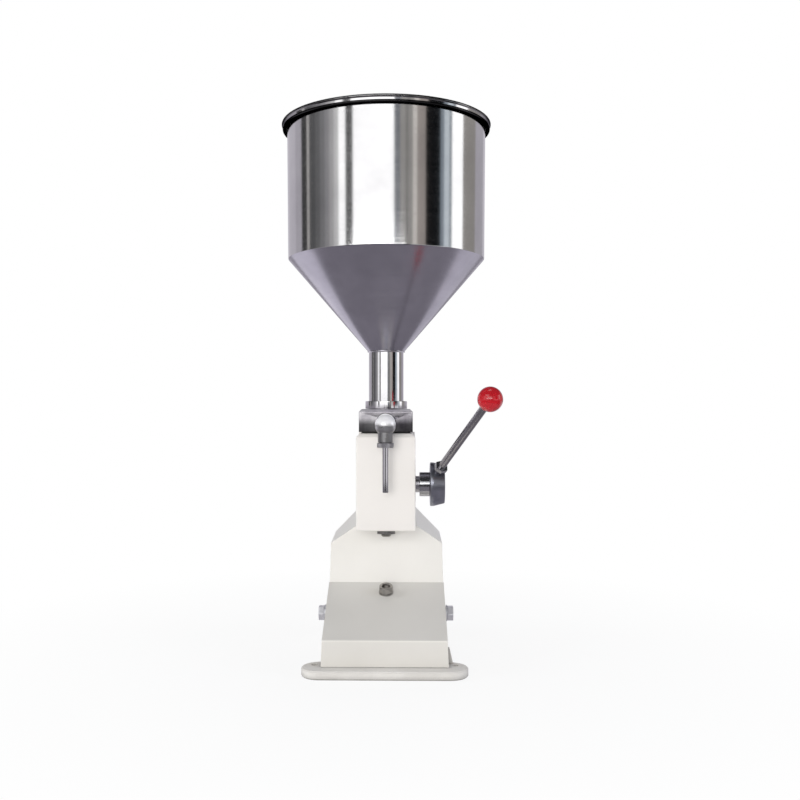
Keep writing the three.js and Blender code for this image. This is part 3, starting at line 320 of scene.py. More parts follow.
# Finishes
recipes = {
    # tones from and to, clouds per metre, roughness from and to, grain per metre on each axis, bump in mm
    "creamPaint": dict(tones=((0.82, 0.797, 0.75), (0.87, 0.847, 0.80)), clouds=9, rough=(0.34, 0.5),
                       grain=(420, 420, 420), bump=0.05, strength=0.25, edge=(0.70, 0.68, 0.62)),
    "headPaint": dict(tones=((0.82, 0.785, 0.745), (0.87, 0.835, 0.795)), clouds=9, rough=(0.34, 0.5),
                      grain=(420, 420, 420), bump=0.05, strength=0.25, edge=(0.72, 0.69, 0.64)),
    # the cream paint a shade darker, painted shade on the lower cover, with a lighter edge tone as a painted
    # highlight on its folds
    "apronShadedPaint": dict(tones=((0.775, 0.75, 0.70), (0.825, 0.80, 0.75)), clouds=9, rough=(0.34, 0.5),
                       grain=(420, 420, 420), bump=0.05, strength=0.25, edge=(0.90, 0.88, 0.84)),
    "rimSteel": dict(tones=((0.74, 0.73, 0.74), (0.86, 0.85, 0.86)), clouds=30, rough=(0.08, 0.14),
                     grain=(20, 20, 300), bump=0.003, strength=0.05, metallic=1),
    "castPaint": dict(tones=((0.67, 0.645, 0.605), (0.78, 0.755, 0.715)), clouds=26, rough=(0.5, 0.75),
                      grain=(190, 190, 190), bump=0.35, strength=0.6, edge=(0.52, 0.49, 0.44)),
    "drumSteel": dict(tones=((0.66, 0.655, 0.665), (0.80, 0.795, 0.80)), clouds=14, rough=(0.09, 0.15),
                      grain=(5, 5, 950), bump=0.008, strength=0.2, metallic=1),
    "coneSteel": dict(tones=((0.42, 0.41, 0.46), (0.54, 0.525, 0.585)), clouds=16, rough=(0.17, 0.26),
                      grain=(6, 6, 700), bump=0.02, strength=0.3, metallic=1),
    "mirrorSteel": dict(tones=((0.66, 0.65, 0.67), (0.78, 0.77, 0.79)), clouds=30, rough=(0.06, 0.1),
                        grain=(20, 20, 300), bump=0.003, strength=0.05, metallic=1),
    "groundSteel": dict(tones=((0.34, 0.315, 0.36), (0.92, 0.90, 0.92)), clouds=34, rough=(0.09, 0.17),
                        grain=(260, 260, 14), bump=0.004, strength=0.1, metallic=1),
    "turnedSteel": dict(tones=((0.62, 0.605, 0.65), (0.80, 0.785, 0.83)), clouds=60, rough=(0.2, 0.3),
                        grain=(60, 60, 160), bump=0.003, strength=0.02, metallic=1),
    # pale and only part metallic, a painted highlight on the outlet elbow
    "elbowSteel": dict(tones=((0.87, 0.86, 0.875), (0.96, 0.95, 0.965)), clouds=120, rough=(0.26, 0.36),
                       grain=(200, 200, 200), bump=0.004, strength=0.05, metallic=0.72),
    "collarSteel": dict(tones=((0.72, 0.71, 0.73), (0.84, 0.83, 0.85)), clouds=30, rough=(0.08, 0.13),
                        grain=(20, 20, 300), bump=0.003, strength=0.05, metallic=1),
    "nutSteel": dict(tones=((0.40, 0.39, 0.41), (0.56, 0.55, 0.58)), clouds=120, rough=(0.24, 0.34),
                     grain=(60, 60, 160), bump=0.003, strength=0.04, metallic=1),
    "shineSteel": dict(tones=((0.40, 0.40, 0.42), (0.52, 0.52, 0.54)), clouds=60, rough=(0.12, 0.18),
                       grain=(500, 60, 60), bump=0.003, strength=0.05, metallic=1),
    "rodSteel": dict(tones=((0.31, 0.30, 0.315), (0.42, 0.41, 0.43)), clouds=60, rough=(0.17, 0.21),
                     grain=(60, 60, 60), bump=0.003, strength=0.02, metallic=1),
    "darkSteel": dict(tones=((0.29, 0.30, 0.35), (0.42, 0.43, 0.49)), clouds=70, rough=(0.28, 0.42),
                      grain=(500, 500, 500), bump=0.015, strength=0.2, metallic=1, edge=(0.45, 0.46, 0.5)),
    "boltSteel": dict(tones=((0.30, 0.29, 0.28), (0.50, 0.48, 0.46)), clouds=140, rough=(0.3, 0.5),
                      grain=(300, 300, 300), bump=0.01, strength=0.15, metallic=1, edge=(0.6, 0.59, 0.57)),
    "zincSteel": dict(tones=((0.78, 0.78, 0.82), (0.93, 0.93, 0.96)), clouds=120, rough=(0.34, 0.46),
                      grain=(300, 300, 300), bump=0.008, strength=0.12, metallic=0.72),
    "redPlastic": dict(tones=((0.43, 0.010, 0.017), (0.51, 0.013, 0.021)), clouds=50, rough=(0.05, 0.08),
                       grain=(40, 40, 40), bump=0.003, strength=0.02),
    "blackRubber": dict(tones=((0.012, 0.012, 0.012), (0.03, 0.03, 0.03)), clouds=90, rough=(0.6, 0.8),
                        grain=(900, 900, 900), bump=0.05, strength=0.4),
    "turnedBrass": dict(tones=((0.50, 0.34, 0.13), (0.66, 0.47, 0.2)), clouds=90, rough=(0.25, 0.4),
                        grain=(40, 900, 900), bump=0.03, strength=0.3, metallic=1),
}
# What all finishes share; a spread is the part of a value that covers the whole range of tones
pattern = {"cloudDetail": 5, "cloudSpread": (0.3, 0.7), "grainDetail": 3, "grainSpread": (0.25, 0.75),
           "edgeRound": 1.6, "edgeSamples": 4, "edgeSpread": (0.99, 0.8),
           "contactSamples": 6, "contactSpread": (0.4, 1)}
extras = {
    "rimSteel": {"Specular Tint": (0.1, 0.1, 0.11, 1)},
    "redPlastic": {"Coat Weight": 0.6, "Coat Roughness": 0.04},
}


def shaderOf(mat):
    return mat.node_tree.nodes["Principled BSDF"]


def mixClouds(tree, place, tones, clouds):
    # two tones in soft clouds, and how far each point leans to the second
    cloud = tree.nodes.new("ShaderNodeTexNoise")
    cloud.inputs["Scale"].default_value = clouds
    cloud.inputs["Detail"].default_value = pattern["cloudDetail"]
    tree.links.new(place.outputs["Object"], cloud.inputs["Vector"])
    lean = spread(tree, cloud.outputs[0], pattern["cloudSpread"])
    tone = tree.nodes.new("ShaderNodeMix")
    tone.data_type = "RGBA"
    tone.inputs["A"].default_value = (*tones[0], 1)
    tone.inputs["B"].default_value = (*tones[1], 1)
    tree.links.new(lean, tone.inputs["Factor"])
    return tone.outputs["Result"], lean


def addGrain(tree, place, shader, rough, grain, bump, strength):
    # one fine noise drives roughness and relief
    stretch = tree.nodes.new("ShaderNodeMapping")
    stretch.inputs["Scale"].default_value = grain
    fine = tree.nodes.new("ShaderNodeTexNoise")
    fine.inputs["Scale"].default_value = 1
    fine.inputs["Detail"].default_value = pattern["grainDetail"]
    tree.links.new(place.outputs["Object"], stretch.inputs["Vector"])
    tree.links.new(stretch.outputs["Vector"], fine.inputs["Vector"])
    tree.links.new(spread(tree, fine.outputs[0], pattern["grainSpread"], rough), shader.inputs["Roughness"])
    lift = tree.nodes.new("ShaderNodeBump")
    lift.inputs["Strength"].default_value = strength
    lift.inputs["Distance"].default_value = bump * mm
    tree.links.new(fine.outputs[0], lift.inputs["Height"])
    tree.links.new(lift.outputs["Normal"], shader.inputs["Normal"])


def wearAndSheenEdges(tree, colour, lean, edge):
    # the edge tone shows where the rounded normal leaves the true one: edge wear on most finishes, and a
    # painted highlight on the apron's folds
    rounded = tree.nodes.new("ShaderNodeBevel")
    rounded.samples = pattern["edgeSamples"]
    rounded.inputs["Radius"].default_value = pattern["edgeRound"] * mm
    true = tree.nodes.new("ShaderNodeNewGeometry")
    dot = tree.nodes.new("ShaderNodeVectorMath")
    dot.operation = "DOT_PRODUCT"
    tree.links.new(rounded.outputs[0], dot.inputs[0])
    tree.links.new(true.outputs["Normal"], dot.inputs[1])
    rubAndSheen = tree.nodes.new("ShaderNodeMath")
    rubAndSheen.operation = "MULTIPLY"
    tree.links.new(spread(tree, dot.outputs["Value"], pattern["edgeSpread"]), rubAndSheen.inputs[0])
    tree.links.new(lean, rubAndSheen.inputs[1])
    wornAndLit = tree.nodes.new("ShaderNodeMix")
    wornAndLit.data_type = "RGBA"
    wornAndLit.inputs["B"].default_value = (*edge, 1)
    tree.links.new(rubAndSheen.outputs[0], wornAndLit.inputs["Factor"])
    tree.links.new(colour, wornAndLit.inputs["A"])
    return wornAndLit.outputs["Result"]


def makeFinish(name, tones, clouds, rough, grain, bump, strength, metallic=0, edge=None):
    mat = bpy.data.materials.new(name)
    mat.use_nodes = True
    tree = mat.node_tree
    shader = shaderOf(mat)
    shader.inputs["Metallic"].default_value = metallic
    place = tree.nodes.new("ShaderNodeTexCoord")
    colour, lean = mixClouds(tree, place, tones, clouds)
    addGrain(tree, place, shader, rough, grain, bump, strength)
    if edge:
        colour = wearAndSheenEdges(tree, colour, lean, edge)
    tree.links.new(colour, shader.inputs["Base Color"])
    return mat


def heightLevels(tree, bottom, height, stops):
    # levels read up a piece, each stop being (share of the height, level)
    place = tree.nodes.new("ShaderNodeTexCoord")
    axes = tree.nodes.new("ShaderNodeSeparateXYZ")
    ramp = tree.nodes.new("ShaderNodeValToRGB")
    while len(ramp.color_ramp.elements) < len(stops):
        ramp.color_ramp.elements.new(1)
    for element, (at, level) in zip(ramp.color_ramp.elements, stops):
        element.position = at
        element.color = (level, level, level, 1)
    tree.links.new(place.outputs["Object"], axes.inputs[0])
    share = spread(tree, axes.outputs["Z"], (bottom * mm, (bottom + height) * mm))
    tree.links.new(share, ramp.inputs["Fac"])
    return ramp.outputs["Color"]


def multiplyTone(mat, level):
    shader = shaderOf(mat)
    before = shader.inputs["Base Color"].links[0].from_socket
    tree = mat.node_tree
    blend = tree.nodes.new("ShaderNodeMix")
    blend.data_type = "RGBA"
    blend.blend_type = "MULTIPLY"
    blend.inputs["Factor"].default_value = 1
    tree.links.new(before, blend.inputs["A"])
    tree.links.new(level, blend.inputs["B"])
    tree.links.new(blend.outputs["Result"], shader.inputs["Base Color"])


def shadeByHeight(mat, bottom, height, stops):
    multiplyTone(mat, heightLevels(mat.node_tree, bottom, height, stops))


def highlightByMetal(mat, bottom, height, stops):
    # how metallic the shader is, by height: a painted highlight, where a less metallic part reads bright
    # under the lamps and a ground face mirrors
    tree = mat.node_tree
    tree.links.new(heightLevels(tree, bottom, height, stops), shaderOf(mat).inputs["Metallic"])


def shadeContacts(mat, reach, darkest):
    # painted shadow: darker within reach of a neighbour
    tree = mat.node_tree
    openness = tree.nodes.new("ShaderNodeAmbientOcclusion")
    openness.samples = pattern["contactSamples"]
    openness.inputs["Distance"].default_value = reach * mm
    multiplyTone(mat, spread(tree, openness.outputs["AO"], pattern["contactSpread"], (darkest, 1)))


finish = {name: makeFinish(name, **values) for name, values in recipes.items()}
for look, sockets in extras.items():
    for socket, value in sockets.items():
        shaderOf(finish[look]).inputs[socket].default_value = value
print("finishes mixed:", len(finish))


# Shaping
def addPiece(name, bm, look, body, *nodes, angle=32):
    mesh = bpy.data.meshes.new(name)
    bm.to_mesh(mesh)
    bm.free()
    mesh.materials.append(finish[look])
    mesh.shade_smooth()
    mesh.set_sharp_from_angle(angle=math.radians(angle))
    piece = bpy.data.objects.new(name, mesh)
    bpy.context.scene.collection.objects.link(piece)
    even = piece.modifiers.new("evenNormals", "WEIGHTED_NORMAL")
    even.keep_sharp = True
    if body:
        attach(piece, body)
    if nodes:
        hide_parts(*nodes)
    return piece


def addTo(bm, part):
    mesh = bpy.data.meshes.new("part")
    part.to_mesh(mesh)
    part.free()
    bm.from_mesh(mesh)
    bpy.data.meshes.remove(mesh)


def spinProfile(bm, points, steps=96, place=Matrix.Identity(4), loop=True):
    # points are (radius, height) in mm, spun about the local upright and then placed
    part = bmesh.new()
    ring = [part.verts.new((radius * mm, 0, height * mm)) for radius, height in points]
    edges = [part.edges.new(pair) for pair in zip(ring, ring[1:])]
    if loop:
        edges.append(part.edges.new((ring[-1], ring[0])))
    bmesh.ops.spin(part, geom=ring + edges, cent=(0, 0, 0), axis=(0, 0, 1), angle=2 * math.pi, steps=steps,
                   use_merge=True)
    bmesh.ops.remove_doubles(part, verts=part.verts, dist=1e-6)
    bmesh.ops.dissolve_degenerate(part, edges=part.edges, dist=1e-7)
    bmesh.ops.transform(part, matrix=place, verts=part.verts)
    bmesh.ops.recalc_face_normals(part, faces=part.faces)
    addTo(bm, part)


def turnPiece(name, look, body, node, profile, steps, place=Matrix.Identity(4)):
    bm = bmesh.new()
    spinProfile(bm, profile, steps, place)
    addPiece(name, bm, look, body, node)


def arc(centreR, centreZ, radius, start, end, steps):
    turns = [math.radians(start + (end - start) * k / steps) for k in range(steps + 1)]
    return [(centreR + radius * math.cos(turn), centreZ + radius * math.sin(turn)) for turn in turns]


# A round takes at most this share of a side, and one with less reach in mm is left out
softening = {"share": 0.45, "least": 0.02, "steps": 3}


def softCorners(points, radius):
    # each corner off the axis gets a small round of equal reach along both sides, unless a side is too short
    soft = []
    for before, at, after in zip(points[-1:] + points[:-1], points, points[1:] + points[:1]):
        corner = Vector(at)
        back = Vector(before) - corner
        on = Vector(after) - corner
        reach = min(radius, back.length * softening["share"], on.length * softening["share"])
        if at[0] < 1e-6 or reach < softening["least"]:
            soft.append(at)
            continue
        first = corner + back.normalized() * reach
        last = corner + on.normalized() * reach
        for k in range(softening["steps"] + 1):
            t = k / softening["steps"]
            point = first * (1 - t) ** 2 + corner * 2 * t * (1 - t) + last * t ** 2
            soft.append((point.x, point.y))
    return soft


def ringProfile(inner, outer, bottom, top, softness):
    return softCorners([(inner, bottom), (outer, bottom), (outer, top), (inner, top)], softness)


def copyNode(node):
    bm = bmesh.new()
    bm.from_mesh(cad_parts[node].data)
    bmesh.ops.remove_doubles(bm, verts=bm.verts, dist=2e-6)
    bmesh.ops.dissolve_limit(bm, angle_limit=math.radians(1), verts=bm.verts, edges=bm.edges)
    return bm


def softenEdges(bm, offset, segments, longer, sharper=20):
    # rounds the outward edges that are longer than so many mm and sharper than so many degrees
    edges = [e for e in bm.edges if e.is_manifold and e.is_convex and e.calc_length() > longer * mm
             and e.calc_face_angle() > math.radians(sharper)]
    bmesh.ops.bevel(bm, geom=edges, offset=offset * mm, offset_type="OFFSET", segments=segments, profile=0.5,
                    affect="EDGES", clamp_overlap=True, material=-1)


def low(node):
    return Vector(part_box(node)[0]) / mm


def high(node):
    return Vector(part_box(node)[1]) / mm


def rise(node):
    # foot and height of a node
    return low(node).z, high(node).z - low(node).z


def upright(x, y, z=0):
    return Matrix.Translation(Vector((x, y, z)) * mm)


sideways = Matrix.Rotation(math.pi / 2, 4, "Y")    # local upright to +X
leftwards = Matrix.Rotation(-math.pi / 2, 4, "Y")  # local upright to -X
forwards = Matrix.Rotation(math.pi / 2, 4, "X")    # local upright to -Y
backwards = Matrix.Rotation(-math.pi / 2, 4, "X")  # local upright to +Y


# Hopper: the seam is where drum and cone meet
hopper = {"sheet": 1.5, "seamRadius": 131.6, "seamHeight": 530.8, "seamRound": 0.8, "footRadius": 23.6,
          "tuck": 0.2, "steps": 160}


def makeHopper():
    bottom, top = low("hopper_shell").z, high("hopper_shell").z
    topRadius = high("hopper_shell").x
    sheet, tuck, ease = hopper["sheet"], hopper["tuck"], hopper["seamRound"]
    seam, radius, foot = hopper["seamHeight"], hopper["seamRadius"], hopper["footRadius"]
    slope = Vector((radius - foot, seam - bottom)).normalized()
    wallLean = (topRadius - radius) / (top - seam)
    seamArc = [(radius - slope.x * ease * 0.4, seam - slope.y * ease * 0.35),
               (radius - 0.1, seam + ease * 0.3), (radius + wallLean * ease, seam + ease)]
    bm = bmesh.new()
    outerCone = [(foot, bottom), (radius - slope.x * ease, seam - slope.y * ease), seamArc[0]]
    spinProfile(bm, outerCone, hopper["steps"], loop=False)
    addPiece("hopperCone", bm, "coneSteel", "frame", angle=50)
    # rounded seam, wall, and back down the inside
    inside = [(topRadius - sheet, top - tuck), (radius - sheet, seam + sheet),
              (radius - sheet - slope.x * ease, seam + sheet - slope.y * ease),
              (foot + tuck, bottom + sheet / slope.x), (foot, bottom)]
    bm = bmesh.new()
    spinProfile(bm, seamArc + [(topRadius, top - tuck)] + inside, hopper["steps"], loop=False)
    addPiece("hopperDrum", bm, "drumSteel", "frame", "hopper_shell", angle=50)


makeHopper()

# Rim: two rounds as shares of its height, and between them a band of (inset, share of the height)
# An arc is its first and last turn in degrees and its steps
rim = {"inset": 0.3, "ledge": 2, "slack": 0.02, "upper": 0.225, "lower": 0.14, "lowerInset": 1.2,
       "lowerArc": (-90, 40, 8), "upperArc": (-40, 90, 10), "ledgeDrop": 0.3, "innerDrop": 0.6,
       "band": [(1.5, 0.29), (1.3, 0.545)],
       # tones are painted reflection, as levels by share of the height: a black underside, a bright line and
       # a grey top
       "tones": [(0.0, 0.07), (0.27, 0.08), (0.3, 1.0), (0.53, 1.0), (0.57, 0.26), (1.0, 0.34)]}


def makeRim():
    bottom, height = rise("hopper_rim")
    inner = high("hopper_shell").x + rim["inset"]
    ledge = inner + rim["ledge"]
    outer = high("hopper_rim").x - rim["slack"]
    upper, lower = height * rim["upper"], height * rim["lower"]
    profile = [(inner, 0), (ledge, 0)]
    profile += arc(outer - rim["lowerInset"] - lower, lower, lower, *rim["lowerArc"])
    profile += [(outer - inset, height * share) for inset, share in rim["band"]]
    profile += arc(outer - upper, height - upper, upper, *rim["upperArc"])
    profile += [(ledge, height - rim["ledgeDrop"]), (inner, height - rim["innerDrop"])]
    bm = bmesh.new()
    spinProfile(bm, profile, hopper["steps"], upright(0, 0, bottom))
    # painted reflection bands up the rim
    shadeByHeight(finish["rimSteel"], bottom, height, rim["tones"])
    addPiece("hopperRim", bm, "rimSteel", "frame", "hopper_rim", angle=40)


makeRim()

neck = {"wall": 3, "round": 0.5, "steps": 96, "weldRadius": 1.3, "weldOut": 0.7, "weldUp": 0.9,
        "weldArc": (0, 330, 11), "collarGap": 0.3, "collarRound": 1.1}


def makeNeck():
    lo, hi = low("hopper_neck"), high("hopper_neck")
    turnPiece("hopperNeck", "mirrorSteel", "frame", "hopper_neck",
              ringProfile(hi.x - neck["wall"], hi.x, lo.z, hi.z, neck["round"]), neck["steps"])
    bm = bmesh.new()
    height = low("hopper_shell").z + neck["weldUp"]
    weld = arc(hi.x + neck["weldOut"], height, neck["weldRadius"], *neck["weldArc"])
    spinProfile(bm, weld, neck["steps"])
    addPiece("neckWeld", bm, "turnedSteel", "frame")
    inner = hi.x + neck["collarGap"]
    lo, hi = low("neck_collar"), high("neck_collar")
    turnPiece("neckCollar", "collarSteel", "frame", "neck_collar",
              ringProfile(inner, hi.x, lo.z, hi.z, neck["collarRound"]), neck["steps"])


makeNeck()
print("hopper made")


# Pump block: its two lists are levels by share of its height. The first darkens its lower part as painted
# shade, standing in for the dark reflection below; the second makes its top chamfer less metallic, a painted
# highlight.
block = {"soft": 0.7, "segments": 3, "longer": 20,
         "tones": [(0.0, 0.14), (0.34, 0.24), (0.6, 1.0), (1.0, 1.0)],
         "highlightMetal": [(0.875, 1.0), (0.895, 0.35)]}


def makeBlock():
    bm = copyNode("pump_block")
    softenEdges(bm, block["soft"], block["segments"], block["longer"])
    # painted shade low on the block and a painted highlight on its top
    shadeByHeight(finish["groundSteel"], *rise("pump_block"), block["tones"])
    highlightByMetal(finish["groundSteel"], *rise("pump_block"), block["highlightMetal"])
    addPiece("pumpBlock", bm, "groundSteel", "frame", "pump_block")


makeBlock()

# Outlet elbow: a ball on a neck, and a flanged stub towards the block
# Port, foot, shoulder and seat are heights, and the neck has a ring so far above the shoulder
elbow = {"axisY": -64.3, "port": 311.8, "foot": 284.8, "shoulder": 287.2, "seat": 302.8,
         "ball": 13.6, "ballDrop": 2.6, "ballSteps": 24, "neck": 9.75, "neckEase": 0.6, "neckRing": 3,
         "thread": 8, "chamber": 5.7, "seatHole": 3.4, "flange": 12.4, "flangeThick": 4,
         "stub": 10.5, "stubBore": 4.5, "stubEnd": 17, "stubEase": 0.8, "steps": 72,
         # tones darken the foot as painted shade and light the ball's top as a painted highlight; the second
         # list makes the top less metallic, a painted highlight too
         "tones": [(0.0, 0.3), (0.45, 0.36), (0.6, 0.62), (0.7, 1.0)], "highlightMetal": [(0.62, 0.88), (0.74, 0.12)]}


def makeElbow():
    middle = elbow["port"] - elbow["ballDrop"]
    foot, seat, shoulder = elbow["foot"], elbow["seat"], elbow["shoulder"]
    side, ease = elbow["neck"], elbow["neckEase"]
    toNeck = -math.degrees(math.acos(side / elbow["ball"]))
    body = arc(0, middle, elbow["ball"], 90, toNeck, elbow["ballSteps"])
    body[0] = (0, middle + elbow["ball"])
    body += [(side, shoulder + elbow["neckRing"]), (side, shoulder + ease), (side - ease, shoulder),
             (elbow["thread"], shoulder), (elbow["thread"], foot),
             (elbow["chamber"], foot), (elbow["chamber"], seat),
             (elbow["seatHole"], seat), (elbow["seatHole"], middle), (0, middle)]
    bm = bmesh.new()
    spinProfile(bm, body, elbow["steps"], upright(0, elbow["axisY"]), loop=False)
    flange, thick, stub, end = elbow["flange"], elbow["flangeThick"], elbow["stub"], elbow["stubEnd"]
    ease, bore = elbow["stubEase"], elbow["stubBore"]
    turned = [(bore, 0), (flange - ease, 0), (flange, ease), (flange, thick - ease),
              (flange - ease, thick), (stub + ease, thick), (stub, thick + ease), (stub, end), (bore, end)]
    spinProfile(bm, turned, elbow["steps"], upright(0, high("outlet_elbow").y, elbow["port"]) @ forwards)
    # painted shade towards the elbow's foot and a painted highlight on its ball
    shadeByHeight(finish["elbowSteel"], foot, middle + elbow["ball"] - foot, elbow["tones"])
    highlightByMetal(finish["elbowSteel"], foot, middle + elbow["ball"] - foot, elbow["highlightMetal"])
    addPiece("outletElbow", bm, "elbowSteel", "frame", "outlet_elbow")


makeElbow()

# Nozzle nut: its knurl has a groove at every other step of so many degrees, as deep as a share of the radius,
# and is on what lies less than knurlSkin inside the outer face
nozzleNut = {"high": 6.2, "bore": 4.35, "mouth": 8.3, "mouthFloor": 2.2, "round": 0.8, "steps": 80,
             "knurlTurn": 4.5, "knurlDeep": 0.05, "knurlSkin": 0.05}


def makeNozzleNut():
    radius = high("nozzle_nut").x
    tall, ledge = nozzleNut["high"], nozzleNut["mouthFloor"]
    bore, mouth = nozzleNut["bore"], nozzleNut["mouth"]
    profile = [(bore, 0), (radius, 0), (radius, tall), (mouth, tall), (mouth, ledge), (bore, ledge)]
    bm = bmesh.new()
    spinProfile(bm, softCorners(profile, nozzleNut["round"]), nozzleNut["steps"],
                upright(0, elbow["axisY"], low("nozzle_nut").z))
    skin = (radius - nozzleNut["knurlSkin"]) * mm
    for vertex in bm.verts:
        offset = Vector((vertex.co.x, vertex.co.y - elbow["axisY"] * mm))
        turn = math.degrees(offset.angle_signed(Vector((1, 0))))
        if offset.length > skin and round(turn / nozzleNut["knurlTurn"]) % 2:
            vertex.co.x -= offset.x * nozzleNut["knurlDeep"]
            vertex.co.y -= offset.y * nozzleNut["knurlDeep"]
    addPiece("nozzleNut", bm, "nutSteel", "frame", "nozzle_nut", angle=25)


makeNozzleNut()

nozzleTube = {"bore": 2.9, "radius": 4.05, "tip": 3.8, "tipHigh": 0.4, "throat": 4.6,
              "flange": 6.9, "flangeThick": 1.5, "steps": 48}


def makeNozzleTube():
    bottom, tall = rise("nozzle_tube")
    ledge = tall - nozzleTube["flangeThick"]
    bore, radius = nozzleTube["bore"], nozzleTube["radius"]
    wide, ease = nozzleTube["flange"], nozzleTube["tipHigh"]
    profile = [(bore, 0), (nozzleTube["tip"], 0), (radius, ease), (radius, ledge - ease),
               (nozzleTube["throat"], ledge), (wide, ledge), (wide, tall), (bore, tall)]
    turnPiece("nozzleTube", "mirrorSteel", "frame", "nozzle_tube", profile, nozzleTube["steps"],
              upright(0, elbow["axisY"], bottom))


makeNozzleTube()


def makeSpring():
    # its foot stays in the elbow and its top goes down with the ball; this copy is one still mesh on no body,
    # with its place baked in
    bm = copyNode("outlet_spring")
    spring = addPiece("outletSpring", bm, "turnedSteel", None, "outlet_spring", angle=70)
    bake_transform(spring)


makeSpring()
print("pump block and outlet made")


# Head and pedestal: round of the long outward edges in mm, its segments, and how long an edge has to be
boxes = {
    "head_box": ("headBox", "headPaint", 1.6, 4, 25),
    "head_back_plate": ("headBackPlate", "headPaint", 1.2, 3, 25),
    "pedestal_casting": ("pedestalCasting", "creamPaint", 2.5, 4, 22),
    "apron_cover": ("apronCover", "apronShadedPaint", 1.6, 4, 30),
    "rear_cover": ("rearCover", "creamPaint", 0.5, 2, 30),
}
# height and level of painted light on the apron: the kick in light painted shade, a painted highlight where
# the fold catches the light, and painted shade on the slope
apronPaintedLight = [(41.6, 0.925), (42.6, 1.0), (44, 1.0), (44.8, 0.84), (93, 0.84)]


def makeBoxes():
    bottom, height = rise("apron_cover")
    stops = [((z - bottom) / height, level) for z, level in apronPaintedLight]
    # painted shade on the kick and slope, and a painted highlight along the fold
    shadeByHeight(finish["apronShadedPaint"], bottom, height, stops)
    for node, (name, look, offset, segments, longer) in boxes.items():
        bm = copyNode(node)
        softenEdges(bm, offset, segments, longer)
        addPiece(name, bm, look, "frame", node, angle=28)


makeBoxes()

plate = {"sharper": 55, "edge": 1.5, "segments": 3, "contact": 7, "darkest": 0.55}


def makePlate():
    bm = copyNode("base_plate")
    softenEdges(bm, plate["edge"], plate["segments"], 0, plate["sharper"])
    # painted contact shadow where the plate meets the covers
    shadeContacts(finish["castPaint"], plate["contact"], plate["darkest"])
    addPiece("basePlate", bm, "castPaint", "frame", "base_plate", angle=28)


makePlate()
print("head and pedestal made")


# Lever: its shaft runs along X, and its arm leans forward and splays to the right
# The ball is cut below at ballCut degrees, and stands there on a short foot
lever = {"axis": (0, -18.5, 230), "lean": 48, "splay": 22.8, "armFoot": 57, "bore": 7.8,
         "shaft": 7.5, "shaftRound": 0.7, "shaftSlack": 0.1, "shaftSteps": 64,
         "centreHole": 3, "centreDeep": 2.4,
         "sleeve": 16, "sleeveRound": 0.9, "bush": 10.8, "bushRound": 0.6, "sleeveSteps": 72,
         "hub": 29, "hubEnd": 25.2, "hubRim": 4, "hubRound": 1.0, "hubSteps": 96,
         "rod": 5, "rodFoot": 18.5, "rodRound": 0.6, "rodInBall": 2, "rodSteps": 48,
         "nut": 16, "nutHigh": 6, "nutRound": 0.7,
         "ball": 15.5, "ballAt": 181.6, "ballCut": -64, "ballRings": 40, "ballSteps": 96,
         "footSide": 0.6, "footHigh": 0.9, "footEase": 0.5, "ballHole": 5.1, "holeTop": -3}
pivot = Matrix.Translation(Vector(lever["axis"]) * mm)
shaftPlace = pivot @ sideways
armPlace = (pivot @ Matrix.Rotation(math.radians(lever["lean"]), 4, "X")
            @ upright(lever["armFoot"], 0) @ Matrix.Rotation(math.radians(lever["splay"]), 4, "Y"))


def hexPrism(bm, across, height, place, chamfer=0.8):
    # a nut or bolt head standing on its seat, edges eased
    part = bmesh.new()
    corner = across / math.sqrt(3) * mm
    bmesh.ops.create_cone(part, cap_ends=True, segments=6, radius1=corner, radius2=corner, depth=height * mm,
                          matrix=upright(0, 0, height / 2))
    bmesh.ops.bevel(part, geom=part.edges[:], offset=chamfer * mm, offset_type="OFFSET", segments=2,
                    profile=0.5, affect="EDGES", clamp_overlap=True, material=-1)
    bmesh.ops.transform(part, matrix=place, verts=part.verts)
    addTo(bm, part)


def makeShaft():
    left, right = low("lever_shaft").x, high("lever_shaft").x
    face = right - lever["shaftSlack"]
    profile = [(0, left), (lever["shaft"], left), (lever["shaft"], face), (lever["centreHole"], face),
               (0, right - lever["centreDeep"])]
    turnPiece("leverShaft", "shineSteel", "lever", "lever_shaft",
              softCorners(profile, lever["shaftRound"]), lever["shaftSteps"], shaftPlace)
    left, right = low("hub_sleeve").x, high("hub_sleeve").x
    turnPiece("hubSleeve", "shineSteel", "lever", "hub_sleeve",
              ringProfile(lever["bore"], lever["sleeve"], left, right, lever["sleeveRound"]),
              lever["sleeveSteps"], shaftPlace)
    left, right = low("lever_hub").x, high("lever_hub").x
    profile = [(lever["bore"], left), (lever["hub"], left), (lever["hub"], left + lever["hubRim"]),
               (lever["hubEnd"], right), (lever["bore"], right)]
    turnPiece("leverHub", "darkSteel", "lever", "lever_hub",
              softCorners(profile, lever["hubRound"]), lever["hubSteps"], shaftPlace)


